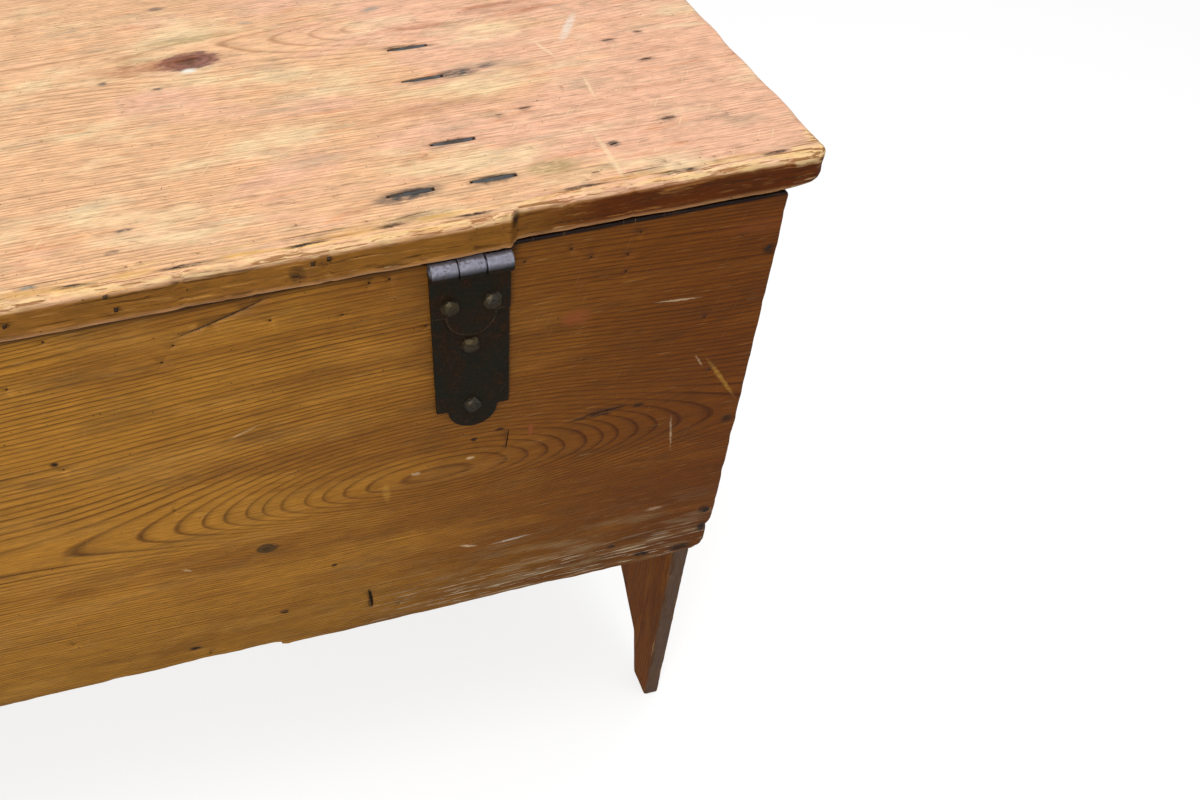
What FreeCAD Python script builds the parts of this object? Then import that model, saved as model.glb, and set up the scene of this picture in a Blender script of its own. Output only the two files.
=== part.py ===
import FreeCAD, Part
import math
import os
import Sketcher
from FreeCAD import Placement, Rotation, Vector

# An old boarded pine chest with a plank lid.
#
# The front and back boards are nailed over the edges of two end boards, which run down to the floor and
# are sawn to a notch that leaves four feet. Three bottom boards are housed in the end boards. The lid
# swings on two wrought strap hinges. Each hinge is two pieces of iron folded round one pin: a strap on
# the back board with the two outer knuckles, and a strap under the lid with the middle knuckle.
#
# Millimetres. X runs along the chest, Y from the front to the back and Z up. The origin is on the floor,
# at the middle of the whole chest's length and depth, hinges included. Left and right are as seen from
# the front.

# Driving dimensions: alias, size and what it measures.
DIMENSIONS = (
    # Carcass
    ("chest_length", 1060.0, "over the ends of the back and front boards"),
    ("chest_depth", 430.0, "over the faces of the back and front boards"),
    ("board_height", 360.0, "back and front boards, lower edge to top"),
    ("foot_height", 290.0, "floor to the boards' lower edge"),
    ("board_thickness", 23.0, "back and front boards"),
    ("end_thickness", 15.0, "end boards"),
    ("edge_wear", 2.5, "rounding of the boards' outer arrises"),
    ("step_length", 367.0, "left stretch of the back board that hangs lower"),
    ("step_rise", 5.5, "how much higher the rest of its lower edge is"),
    # Feet
    ("toe_depth", 31.0, "foot at the floor, front to back"),
    ("knee_depth", 48.0, "foot where its inner edge starts to splay"),
    ("knee_height", 59.0, "that place above the floor"),
    ("notch_height", 203.0, "top of the notch above the floor"),
    ("notch_radius", 10.0, "rounding at the notch's top"),
    ("toe_wear", 4.0, "rounding of the feet's outer lower corners"),
    # Bottom
    ("bottom_thickness", 18.0, "bottom boards"),
    ("bottom_rise", 8.0, "their underside above the boards' lower edge"),
    ("bottom_gap", 1.0, "shrinkage gap beside each bottom board"),
    ("housing_depth", 5.0, "groove in each end board"),
    ("housing_play", 0.2, "clearance over a board in its groove, and at its end"),
    # Lid
    ("lid_thickness", 24.0, "the plank"),
    ("lid_gap", 0.3, "lid above the boards' top edges"),
    ("lid_end_overhang", 23.0, "past each end board"),
    ("lid_front_overhang", 20.0, "past the front board"),
    ("lid_rear_overhang", 6.0, "past the back board"),
    ("lid_top_wear", 5.0, "rounding of its upper arrises"),
    ("lid_low_wear", 1.5, "rounding of its lower arrises"),
    ("lid_corner_wear", 9.0, "rounding of its corners in plan"),
    ("split_length", 172.0, "lost strip of the rear edge, from the left end board"),
    ("split_slant", 5.0, "run of its broken end"),
    ("split_depth", 7.5, "how deep the strip was"),
    # Hinges
    ("hinge_inset", 203.0, "middle of a hinge from the board's end"),
    ("hinge_width", 50.0, "both straps"),
    ("leaf_thickness", 2.5, "the iron"),
    ("pin_diameter", 8.0, "hinge pin"),
    ("pin_play", 0.05, "radial clearance of the pin"),
    ("pin_proud", 0.6, "pin past each outer knuckle, and the bevel on its ends"),
    ("knuckle_gap", 0.4, "between neighbouring knuckles"),
    ("fold_gap", 0.2, "between the two layers of a folded strap"),
    ("fold_radius", 1.0, "inside of the bend where the short layer leaves the eye"),
    ("leaf_gap", 0.3, "strap off the wood, and lid strap off the outer knuckles"),
    ("gain_side_play", 0.5, "notch in the back board beside the lid strap"),
    ("gain_low_play", 0.4, "notch in the back board below the lid strap"),
    ("tongue_radius", 17.0, "round end of each layer"),
    ("lap_past_pair", 9.0, "nearest pair of nails to the shoulders of the short layer"),
    ("back_reach", 121.0, "pin to the shoulders of the back strap's long layer"),
    ("lid_reach", 220.0, "pin to the shoulders of the lid strap's long layer"),
    # Rose-headed hinge nails
    ("rose_diameter", 12.5, "across the head's corners"),
    ("rose_rim", 1.0, "thickness of the head's rim"),
    ("rose_height", 4.0, "head, strap to top"),
    ("shank_width", 3.8, "square shank"),
    ("shank_play", 0.1, "hole past each side of a shank"),
    ("back_shank", 20.0, "shank of a back strap's nail"),
    ("point_length", 7.0, "tapered end of a shank"),
    ("point_taper", 1.3, "how far each of its sides leans in"),
    ("pair_spread", 26.0, "between the two nails nearest the pin"),
    ("back_pair", 28.5, "pin to that pair on the back strap"),
    ("back_third", 63.5, "pin to its third nail"),
    ("back_fourth", 117.0, "pin to its fourth nail"),
    ("lid_pair_inset", 10.0, "inner face of the back board to the pair on the lid strap"),
    ("lid_third", 90.0, "pin to its third nail"),
    ("lid_fourth", 160.0, "pin to its fourth nail"),
    ("lid_fifth", 214.0, "pin to its fifth nail"),
    ("clench_length", 20.0, "point bent over on the lid"),
    ("clench_thickness", 2.0, "that point, flattened into the lid"),
    # Carcass nails
    ("head_diameter", 8.5, "across the head's corners"),
    ("head_thickness", 1.8, "head, sunk flush"),
    ("head_play", 0.3, "recess past the head"),
    ("carcass_shank", 46.0, "shank below the head"),
    ("bottom_shank", 32.0, "shank of a bottom board's nail"),
    ("nail_top_drop", 40.0, "highest nail below the boards' top"),
    ("nail_middle_drop", 197.0, "middle nail below the boards' top"),
    ("nail_low_drop", 306.0, "lowest nail below the boards' top"),
)

SHEET = "Sizes"
HEAD_CORNERS = 6
TO_BACK = Rotation(Vector(1, 0, 0), -90)
TO_FRONT = Rotation(Vector(1, 0, 0), 90)
QUARTER_TURN = Rotation(Vector(0, 0, 1), 90)
TO_LEFT = Rotation(Vector(0, 1, 0), -90).multiply(QUARTER_TURN)
TO_RIGHT = Rotation(Vector(0, 1, 0), 90).multiply(QUARTER_TURN)
UPSIDE_DOWN = Rotation(Vector(1, 0, 0), 180)


class Size:
    """A length with its number and the expression that binds it to the sheet."""

    def __init__(self, value, text):
        self.value = float(value)
        self.text = text

    def _join(self, other, sign, value):
        return Size(value, "(%s %s %s)" % (self.text, sign, as_size(other).text))

    def __add__(self, other):
        return self._join(other, "+", self.value + as_size(other).value)

    def __sub__(self, other):
        return self._join(other, "-", self.value - as_size(other).value)

    def __mul__(self, other):
        return self._join(other, "*", self.value * as_size(other).value)

    def __truediv__(self, other):
        return self._join(other, "/", self.value / as_size(other).value)

    def __neg__(self):
        return self * -1

    def root(self):
        """The square root of a squared length."""
        return Size(math.sqrt(self.value), "sqrt(%s)" % self.text)


def as_size(number):
    """Gives a plain number as a Size."""
    if isinstance(number, Size):
        return number
    return Size(number, "(%.9g)" % number)


ZERO = Size(0, "0")


class Sizes:
    """The driving dimensions, one attribute each, and what follows from them."""

    def __init__(self, document):
        sheet = document.addObject("Spreadsheet::Sheet", SHEET)
        for row, (alias, size, meaning) in enumerate(DIMENSIONS, 1):
            sheet.set("A%d" % row, alias)
            sheet.set("B%d" % row, "%g" % size)
            sheet.set("C%d" % row, meaning)
            sheet.setAlias("B%d" % row, alias)
            setattr(self, alias, Size(size, "%s.%s" % (SHEET, alias)))
        document.recompute()

        # Hinge: the eye's radii, where the short layer settles, and the pin's place
        self.eye_inner = self.pin_diameter / 2 + self.pin_play
        self.eye_outer = self.eye_inner + self.leaf_thickness
        self.lap_outer = self.eye_inner - self.fold_gap - self.leaf_thickness
        self.bend_level = self.lap_outer - self.fold_radius
        reach = self.eye_outer + self.fold_radius
        self.bend_reach = (reach * reach - self.bend_level * self.bend_level).root()
        self.knuckle_width = (self.hinge_width - self.knuckle_gap * 2) / 3
        self.tang_reach = self.eye_outer + self.leaf_gap
        self.lid_pair = self.tang_reach + self.board_thickness + self.lid_pair_inset
        self.back_lap = self.back_pair + self.lap_past_pair
        self.lid_lap = self.lid_pair + self.lap_past_pair

        # Carcass: levels and faces
        self.board_top = self.foot_height + self.board_height
        self.barrel_proud = self.leaf_gap + self.eye_outer * 2
        self.shift = (self.lid_front_overhang - self.barrel_proud) / 2
        self.back_face = self.chest_depth / 2 + self.shift
        self.front_face = self.shift - self.chest_depth / 2
        self.end_width = self.chest_depth - self.board_thickness * 2
        self.half_length = self.chest_length / 2
        self.bottom_level = self.foot_height + self.bottom_rise
        self.bottom_width = (self.end_width - self.bottom_gap * 4) / 3
        self.lid_level = self.board_top + self.lid_gap
        self.hinge_x = self.half_length - self.hinge_inset
        self.pin_y = self.back_face + self.leaf_gap + self.eye_outer
        self.pin_z = self.lid_level - self.leaf_gap - self.eye_outer

        # Nails: holes and the depth of the lid strap's heads below the lid
        self.hole_width = self.shank_width + self.shank_play * 2
        self.nail_drops = (self.nail_top_drop, self.nail_middle_drop, self.nail_low_drop)
        self.single_depth = self.leaf_gap + self.leaf_thickness
        self.double_depth = self.single_depth + self.fold_gap + self.leaf_thickness


# Sketch and feature helpers

def plane(body, role):
    """The body's own origin plane with this role."""
    for feature in body.Origin.OriginFeatures:
        if feature.Role == role:
            return feature
    raise ValueError(role)


def new_body(document, label):
    body = document.addObject("PartDesign::Body", label)
    body.Label = label
    return body


def place(thing, x=ZERO, y=ZERO, z=ZERO, rotation=None):
    """Binds where a piece stands."""
    if rotation is not None:
        thing.Placement = Placement(Vector(x.value, y.value, z.value), rotation)
    for axis, size in (("x", x), ("y", y), ("z", z)):
        thing.setExpression("Placement.Base." + axis, size.text)


def new_sketch(body, name, role, offset=None):
    """A sketch on one of the body's origin planes, or that far along the plane's normal."""
    sketch = body.newObject("Sketcher::SketchObject", body.Label + "_" + name)
    sketch.AttachmentSupport = [(plane(body, role), "")]
    sketch.MapMode = "FlatFace"
    if offset is not None:
        sketch.AttachmentOffset = Placement(Vector(0, 0, offset.value), Rotation())
        sketch.setExpression("AttachmentOffset.Base.z", offset.text)
    return sketch


def fix(sketch, kind, geometry, point, size):
    """Holds one coordinate of a point at a size. kind is DistanceX or DistanceY."""
    if size.text == ZERO.text:
        axis = -2 if kind == "DistanceX" else -1
        sketch.addConstraint(Sketcher.Constraint("PointOnObject", geometry, point, axis))
        return
    index = sketch.addConstraint(Sketcher.Constraint(kind, -1, 1, geometry, point, size.value))
    name = "size_%d" % index
    sketch.renameConstraint(index, name)
    sketch.setExpression("Constraints." + name, size.text)


def outline(sketch, corners, arcs=None):
    """Draws a closed outline through corners given as pairs of sizes.

    arcs maps the number of a corner to the centre and the turn, +1 anticlockwise, of the side that
    leaves it. Every other side is straight.
    """
    arcs = arcs or {}
    count = len(corners)
    first = sketch.GeometryCount
    ends = []
    for number, (x, y) in enumerate(corners):
        next_x, next_y = corners[(number + 1) % count]
        start = Vector(x.value, y.value, 0)
        end = Vector(next_x.value, next_y.value, 0)
        if number in arcs:
            (centre_x, centre_y), turn = arcs[number]
            centre = Vector(centre_x.value, centre_y.value, 0)
            side, swap = arc_between(centre, start, end, turn)
        else:
            side, swap = Part.LineSegment(start, end), False
        sketch.addGeometry(side, False)
        ends.append((2, 1) if swap else (1, 2))
    for number in range(count):
        following = (number + 1) % count
        sketch.addConstraint(Sketcher.Constraint(
            "Coincident", first + number, ends[number][1], first + following, ends[following][0]))
    for number, (x, y) in enumerate(corners):
        fix(sketch, "DistanceX", first + number, ends[number][0], x)
        fix(sketch, "DistanceY", first + number, ends[number][0], y)
    for number, (centre, turn) in arcs.items():
        chord_x = abs(corners[(number + 1) % count][0].value - corners[number][0].value)
        chord_y = abs(corners[(number + 1) % count][1].value - corners[number][1].value)
        if chord_x > chord_y:
            fix(sketch, "DistanceY", first + number, 3, centre[1])
        else:
            fix(sketch, "DistanceX", first + number, 3, centre[0])


def arc_between(centre, start, end, turn):
    """The arc about centre from start to end, and whether it is stored from end to start."""
    swap = turn < 0
    if swap:
        start, end = end, start
    angles = [math.atan2(p.y - centre.y, p.x - centre.x) for p in (start, end)]
    if angles[1] <= angles[0]:
        angles[1] += 2 * math.pi
    circle = Part.Circle(centre, Vector(0, 0, 1), centre.distanceToPoint(start))
    return Part.ArcOfCircle(circle, angles[0], angles[1]), swap


def box_outline(sketch, low_x, low_y, high_x, high_y):
    outline(sketch, [(low_x, low_y), (high_x, low_y), (high_x, high_y), (low_x, high_y)])


def square_outline(sketch, x, y, width):
    half = width / 2
    box_outline(sketch, x - half, y - half, x + half, y + half)


def polygon_outline(sketch, x, y, diameter, count):
    """A regular polygon that many across its corners."""
    radius = diameter / 2
    corners = []
    for number in range(count):
        turn = 2 * math.pi * number / count
        corners.append((x + radius * math.cos(turn), y + radius * math.sin(turn)))
    outline(sketch, corners)


def extrude(body, kind, sketch, length=None, reversed_side=False, both_sides=False):
    """A Pad or a Pocket of a sketch. With no length a Pocket runs through everything, both ways."""
    feature = body.newObject("PartDesign::" + kind, sketch.Label + "_" + kind.lower())
    feature.Profile = sketch
    if length is None:
        feature.Type = "ThroughAll"
        feature.Midplane = True
    else:
        feature.setExpression("Length", length.text)
        feature.Reversed = reversed_side
        feature.Midplane = both_sides
    return feature


def pad(body, sketch, length, **sides):
    return extrude(body, "Pad", sketch, length, **sides)


def pocket(body, sketch, length=None, **sides):
    return extrude(body, "Pocket", sketch, length, **sides)


def mirror(body, features, role):
    """Repeats features on the other side of one of the body's origin planes."""
    feature = body.newObject("PartDesign::Mirrored", body.Label + "_other_side_" + role[:2].lower())
    feature.Originals = features
    feature.MirrorPlane = (plane(body, role), [""])
    body.Tip = feature
    return feature


def dress_edges(body, kind, path, size, test):
    """Adds a Fillet or Chamfer on the edges of the body that pass a test on their two end points."""
    body.Document.recompute()
    base = body.Tip
    names = []
    for number, edge in enumerate(base.Shape.Edges, 1):
        points = [vertex.Point for vertex in edge.Vertexes]
        if test(points[0], points[-1]):
            names.append("Edge%d" % number)
    feature = body.newObject("PartDesign::" + kind, body.Label + "_worn_edges")
    feature.Base = (base, names)
    feature.setExpression(path, size.text)
    return feature


def round_edges(body, radius, test):
    return dress_edges(body, "Fillet", "Radius", radius, test)


def bevel_edges(body, size, test, inward=None):
    """A bevel of that size on both faces, or of another size inward on the end face."""
    feature = dress_edges(body, "Chamfer", "Size", size, test)
    if inward is not None:
        feature.ChamferType = "Two distances"
        feature.setExpression("Size2", inward.text)
    return feature


def near(first, second):
    return abs(first - second) < 1e-4


# Carcass boards

def nail_holes(body, s, side):
    """Holes and head recesses of the nails at one end of the front or back board.

    The board's outer face lies at its thickness in Y where side is +1, and at minus that where it is -1.
    """
    x = s.end_thickness / 2 - s.half_length
    shanks = new_sketch(body, "nail_shanks", "XZ_Plane")
    heads = new_sketch(body, "nail_heads", "XZ_Plane", s.board_thickness * -side)
    for drop in s.nail_drops:
        square_outline(shanks, x, s.board_height - drop, s.hole_width)
        polygon_outline(heads, x, s.board_height - drop, s.head_diameter + s.head_play * 2, HEAD_CORNERS)
    holes = pocket(body, shanks)
    recesses = pocket(body, heads, s.head_thickness, reversed_side=side > 0)
    return [holes, recesses]


def build_back_board(document, s):
    body = new_body(document, "back_board")
    sketch = new_sketch(body, "outline", "XZ_Plane")
    step_x = s.step_length - s.half_length
    outline(sketch, [
        (-s.half_length, ZERO), (step_x, ZERO), (step_x, s.step_rise), (s.half_length, s.step_rise),
        (s.half_length, s.board_height), (-s.half_length, s.board_height)])
    pad(body, sketch, s.board_thickness, reversed_side=True)

    def outer_arris(a, b):
        return near(a.y, s.board_thickness.value) and near(b.y, a.y)
    round_edges(body, s.edge_wear, outer_arris)

    # Notch in the top edge that lets the lid strap pass, and the holes of the back strap's nails
    gain = new_sketch(body, "gain", "XZ_Plane")
    half_gain = s.hinge_width / 2 + s.gain_side_play
    strap_level = s.pin_z - s.foot_height + s.lap_outer - s.gain_low_play
    above = s.board_height + s.edge_wear
    box_outline(gain, -s.hinge_x - half_gain, strap_level, -s.hinge_x + half_gain, above)
    cut_gain = pocket(body, gain)
    strap_nails = new_sketch(body, "strap_nails", "XZ_Plane", -s.board_thickness)
    for across, drop in back_nail_places(s):
        square_outline(strap_nails, across - s.hinge_x, s.pin_z - s.foot_height - drop, s.hole_width)
    nails = pocket(body, strap_nails, s.back_shank - s.single_depth, reversed_side=True)
    mirror(body, [cut_gain, nails] + nail_holes(body, s, 1), "YZ_Plane")
    place(body, y=s.back_face - s.board_thickness, z=s.foot_height)
    return body


def build_front_board(document, s):
    body = new_body(document, "front_board")
    sketch = new_sketch(body, "outline", "XZ_Plane")
    box_outline(sketch, -s.half_length, ZERO, s.half_length, s.board_height)
    pad(body, sketch, s.board_thickness)

    def outer_arris(a, b):
        return near(a.y, -s.board_thickness.value) and near(b.y, a.y)
    round_edges(body, s.edge_wear, outer_arris)
    mirror(body, nail_holes(body, s, -1), "YZ_Plane")
    place(body, y=s.front_face + s.board_thickness, z=s.foot_height)
    return body


def build_end_board(document, s, label, side):
    """An end board: side is -1 at the left and +1 at the right. Its inner face is at X 0."""
    body = new_body(document, label)
    half = s.end_width / 2
    sketch = new_sketch(body, "outline", "YZ_Plane")
    outline(sketch, [
        (-half, ZERO), (s.toe_depth - half, ZERO), (s.knee_depth - half, s.knee_height),
        (ZERO, s.notch_height), (half - s.knee_depth, s.knee_height), (half - s.toe_depth, ZERO),
        (half, ZERO), (half, s.board_top), (-half, s.board_top)])
    pad(body, sketch, s.end_thickness, reversed_side=side < 0)

    def notch_top(a, b):
        return near(a.z, s.notch_height.value) and near(b.z, a.z)
    round_edges(body, s.notch_radius, notch_top)

    def outer_toe(a, b):
        return near(a.z, 0) and near(b.z, 0) and near(abs(a.y), half.value) and near(a.y, b.y)
    round_edges(body, s.toe_wear, outer_toe)

    # Housing for the bottom boards, open at both edges, and the nails that pass through it
    housing = new_sketch(body, "housing", "YZ_Plane")
    box_outline(housing, -half, s.bottom_level, half, s.bottom_level + s.bottom_thickness + s.housing_play)
    pocket(body, housing, s.housing_depth, reversed_side=side > 0)
    shanks = new_sketch(body, "bottom_shanks", "YZ_Plane")
    heads = new_sketch(body, "bottom_heads", "YZ_Plane", s.end_thickness * side)
    middle = s.bottom_level + s.bottom_thickness / 2
    for y in bottom_places(s):
        square_outline(shanks, y, middle, s.hole_width)
        polygon_outline(heads, y, middle, s.head_diameter + s.head_play * 2, HEAD_CORNERS)
    pocket(body, shanks)
    pocket(body, heads, s.head_thickness, reversed_side=side < 0)

    # Holes in the rear edge for the back board's nails, and the same in the front edge
    edge = new_sketch(body, "edge_nails", "XZ_Plane", -half)
    for drop in s.nail_drops:
        square_outline(edge, s.end_thickness * side / 2, s.board_top - drop, s.hole_width)
    depth = s.carcass_shank + s.head_thickness - s.board_thickness
    holes = pocket(body, edge, depth, reversed_side=True)
    mirror(body, [holes], "XZ_Plane")
    place(body, x=(s.half_length - s.end_thickness) * side, y=s.shift)
    return body


def bottom_places(s):
    """Middle of each bottom board from the middle of the chest's depth, front to back."""
    pitch = s.bottom_width + s.bottom_gap
    return (-pitch, ZERO, pitch)


def build_bottom_board(document, s, label, y):
    body = new_body(document, label)
    half_length = s.half_length - s.end_thickness + s.housing_depth - s.housing_play
    sketch = new_sketch(body, "outline", "XY_Plane")
    box_outline(sketch, -half_length, -s.bottom_width / 2, half_length, s.bottom_width / 2)
    pad(body, sketch, s.bottom_thickness)
    end = new_sketch(body, "end_nail", "YZ_Plane", -half_length)
    square_outline(end, ZERO, s.bottom_thickness / 2, s.hole_width)
    depth = s.bottom_shank + s.head_thickness - s.end_thickness + s.housing_depth - s.housing_play
    hole = pocket(body, end, depth, reversed_side=True)
    mirror(body, [hole], "YZ_Plane")
    place(body, y=s.shift + y, z=s.bottom_level)
    return body


# Lid

def build_lid(document, s):
    """The lid. Its underside is at Z 0 and the pins' axis, seen from above, at Y 0."""
    body = new_body(document, "lid")
    rear = s.lid_rear_overhang - (s.leaf_gap + s.eye_outer)
    front = s.front_face - s.lid_front_overhang - s.pin_y
    end = s.half_length + s.lid_end_overhang
    split_x = s.split_length - s.half_length
    sketch = new_sketch(body, "outline", "XY_Plane")
    outline(sketch, [
        (-end, front), (end, front), (end, rear), (split_x + s.split_slant, rear),
        (split_x, rear - s.split_depth), (-end, rear - s.split_depth)])
    pad(body, sketch, s.lid_thickness)

    def corner(a, b):
        return near(a.x, b.x) and near(abs(a.x), end.value) and near(a.y, b.y)
    round_edges(body, s.lid_corner_wear, corner)

    def upper(a, b):
        return near(a.z, s.lid_thickness.value) and near(b.z, a.z)
    round_edges(body, s.lid_top_wear, upper)

    def lower(a, b):
        return near(a.z, 0) and near(b.z, 0)
    round_edges(body, s.lid_low_wear, lower)

    # Nail holes of one strap and the slots in the lid's top that their points are bent into
    shanks = new_sketch(body, "strap_nails", "XY_Plane")
    slots = new_sketch(body, "clench_slots", "XY_Plane", s.lid_thickness)
    half = s.hole_width / 2
    for across, reach, _ in lid_nail_places(s):
        x = across - s.hinge_x
        square_outline(shanks, x, -reach, s.hole_width)
        box_outline(slots, x - half, -reach - half, x + s.clench_length + s.shank_play, -reach + half)
    holes = pocket(body, shanks)
    bent = pocket(body, slots, s.clench_thickness + s.shank_play)
    mirror(body, [holes, bent], "YZ_Plane")
    place(body, y=s.pin_y, z=s.lid_level)
    return body


# Hinges
#
# Both straps are drawn round the pin's axis, at Y 0 and Z 0. A strap runs away from the eye in one
# direction, its reach, and its long layer lies on the side towards the wood, its rise. The back strap
# runs down with the wood in front of it, and the lid strap runs forward with the wood above it.

def down_the_back(reach, rise):
    return -rise, -reach


def under_the_lid(reach, rise):
    return -reach, rise


def curl_outline(sketch, s, to_plane):
    """The folded eye: three quarters of a turn round the pin, then a tight bend into the short layer."""
    bend = (s.bend_reach, s.bend_level)
    share_outer = s.eye_outer / (s.eye_outer + s.fold_radius)
    share_inner = s.eye_inner / (s.eye_outer + s.fold_radius)
    corners = [
        (ZERO, s.eye_outer),
        (s.bend_reach * share_outer, s.bend_level * share_outer),
        (s.bend_reach, s.lap_outer),
        (s.bend_reach, s.lap_outer + s.leaf_thickness),
        (s.bend_reach * share_inner, s.bend_level * share_inner),
        (ZERO, s.eye_inner)]
    arcs = {0: ((ZERO, ZERO), 1), 1: (bend, -1), 3: (bend, 1), 4: ((ZERO, ZERO), -1)}
    placed = [to_plane(*corner) for corner in corners]
    turned = {side: (to_plane(*centre), -turn) for side, (centre, turn) in arcs.items()}
    outline(sketch, placed, turned)


def layer_outline(sketch, s, start, shoulders, to_plane, tang=None):
    """One layer of a strap, from start to its shoulders and round tongue.

    tang is how far a narrow neck runs before the strap takes its full width.
    """
    half = s.hinge_width / 2
    neck = s.knuckle_width / 2
    radius = s.tongue_radius
    right = [(half, shoulders), (radius, shoulders)]
    if tang is None:
        right = [(half, start)] + right
    else:
        right = [(neck, start), (neck, tang), (half, tang)] + right
    left = [(-across, along) for across, along in reversed(right)]
    corners = [to_plane(*corner) for corner in right + left]
    outline(sketch, corners, {len(right) - 1: (to_plane(ZERO, shoulders), -1)})


def build_back_strap(document, s, label, side):
    """The strap on the back board, with the two outer knuckles."""
    body = new_body(document, label)

    def down(across, along):
        return across, -along
    curl = new_sketch(body, "eye", "YZ_Plane")
    curl_outline(curl, s, down_the_back)
    pad(body, curl, s.hinge_width, both_sides=True)
    long_layer = new_sketch(body, "long_layer", "XZ_Plane", s.eye_inner)
    layer_outline(long_layer, s, ZERO, s.back_reach, down)
    pad(body, long_layer, s.leaf_thickness)
    short_layer = new_sketch(body, "short_layer", "XZ_Plane", s.lap_outer)
    layer_outline(short_layer, s, s.bend_reach, s.back_lap, down)
    pad(body, short_layer, s.leaf_thickness)

    # Slot that leaves the two outer knuckles and lets the lid strap through
    slot = new_sketch(body, "slot", "XZ_Plane")
    half_slot = s.knuckle_width / 2 + s.knuckle_gap
    box_outline(slot, -half_slot, -s.bend_reach, half_slot, s.eye_outer * 2)
    pocket(body, slot)
    nails = new_sketch(body, "nails", "XZ_Plane")
    for across, drop in back_nail_places(s):
        square_outline(nails, across, -drop, s.hole_width)
    pocket(body, nails)
    place(body, x=s.hinge_x * side, y=s.pin_y, z=s.pin_z)
    return body


def build_lid_strap(document, s, label, side):
    """The strap under the lid, with the middle knuckle."""
    body = new_body(document, label)

    def forward(across, along):
        return across, -along
    curl = new_sketch(body, "eye", "YZ_Plane")
    curl_outline(curl, s, under_the_lid)
    pad(body, curl, s.knuckle_width, both_sides=True)
    long_layer = new_sketch(body, "long_layer", "XY_Plane", s.eye_inner)
    layer_outline(long_layer, s, ZERO, s.lid_reach, forward, tang=s.tang_reach)
    pad(body, long_layer, s.leaf_thickness)
    short_layer = new_sketch(body, "short_layer", "XY_Plane", s.lap_outer)
    layer_outline(short_layer, s, s.bend_reach, s.lid_lap, forward)
    pad(body, short_layer, s.leaf_thickness)
    nails = new_sketch(body, "nails", "XY_Plane")
    for across, reach, _ in lid_nail_places(s):
        square_outline(nails, across, -reach, s.hole_width)
    pocket(body, nails)
    place(body, x=s.hinge_x * side, y=s.pin_y, z=s.pin_z)
    return body


def build_pin(document, s, label, side):
    """The pin, with peened ends just proud of the outer knuckles."""
    body = new_body(document, label)
    sketch = new_sketch(body, "section", "YZ_Plane")
    rim_circle = Part.Circle(Vector(0, 0, 0), Vector(0, 0, 1), s.pin_diameter.value / 2)
    circle = sketch.addGeometry(rim_circle, False)
    sketch.addConstraint(Sketcher.Constraint("Coincident", circle, 3, -1, 1))
    index = sketch.addConstraint(Sketcher.Constraint("Diameter", circle, s.pin_diameter.value))
    sketch.renameConstraint(index, "pin_width")
    sketch.setExpression("Constraints.pin_width", s.pin_diameter.text)
    pad(body, sketch, s.hinge_width + s.pin_proud * 2, both_sides=True)

    def rim(a, b):
        return near(a.x, b.x)
    bevel_edges(body, s.pin_proud, rim)
    place(body, x=s.hinge_x * side, y=s.pin_y, z=s.pin_z)
    return body


# Nails
#
# A nail is drawn with its shank down the Z axis and the underside of its head at Z 0. Each group of
# nails is a compound of links to one such nail.

def back_nail_places(s):
    """Across the strap and down from the pin, for each nail of a back strap."""
    half = s.pair_spread / 2
    return ((-half, s.back_pair), (half, s.back_pair), (ZERO, s.back_third), (ZERO, s.back_fourth))


def lid_nail_places(s):
    """Across the strap and forward from the pin, and whether the nail holds both layers."""
    half = s.pair_spread / 2
    return ((-half, s.lid_pair, True), (half, s.lid_pair, True), (ZERO, s.lid_third, False),
            (ZERO, s.lid_fourth, False), (ZERO, s.lid_fifth, False))


def faceted_head(body, rim, height, diameter):
    """A hammered head: a thin rim and flat facets up to a small top."""
    sketch = new_sketch(body, "head", "XY_Plane")
    polygon_outline(sketch, ZERO, ZERO, diameter, HEAD_CORNERS)
    pad(body, sketch, height)

    def top(a, b):
        return near(a.z, height.value) and near(b.z, a.z)
    bevel_edges(body, height - rim, top)


def square_shank(body, s, length):
    """A square shank with a tapered end."""
    section = new_sketch(body, "shank", "XY_Plane")
    square_outline(section, ZERO, ZERO, s.shank_width)
    pad(body, section, length, reversed_side=True)

    def tip(a, b):
        return near(a.z, -length.value) and near(b.z, a.z)
    bevel_edges(body, s.point_length, tip, inward=s.point_taper)


def build_rose_nail(document, s):
    body = new_body(document, "rose_nail")
    faceted_head(body, s.rose_rim, s.rose_height, s.rose_diameter)
    square_shank(body, s, s.back_shank)
    return body


def build_carcass_nail(document, s, label, length):
    body = new_body(document, label)
    faceted_head(body, s.head_thickness / 2, s.head_thickness, s.head_diameter)
    square_shank(body, s, length)
    return body


def build_clenched_nail(document, s, label, depth):
    """A nail driven up through the lid, its point bent over along X and beaten flush into the top."""
    body = new_body(document, label)
    faceted_head(body, s.rose_rim, s.rose_height, s.rose_diameter)
    through = depth + s.lid_thickness - s.shank_play
    section = new_sketch(body, "shank", "XY_Plane")
    square_outline(section, ZERO, ZERO, s.shank_width)
    pad(body, section, through, reversed_side=True)
    half = s.shank_width / 2
    bent = new_sketch(body, "clench", "XZ_Plane")
    box_outline(bent, -half, -through, s.clench_length, s.clench_thickness - through)
    pad(body, bent, s.shank_width, both_sides=True)
    return body


def nail_group(document, label, nails):
    """A group of nails: each entry gives the nail, its turn and its place."""
    links = []
    for number, (nail, rotation, (x, y, z)) in enumerate(nails, 1):
        link = document.addObject("App::Link", "%s_%d" % (label, number))
        link.LinkedObject = nail
        place(link, x, y, z, rotation)
        links.append(link)
    group = document.addObject("Part::Compound", label)
    group.Label = label
    group.Links = links
    return group


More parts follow.
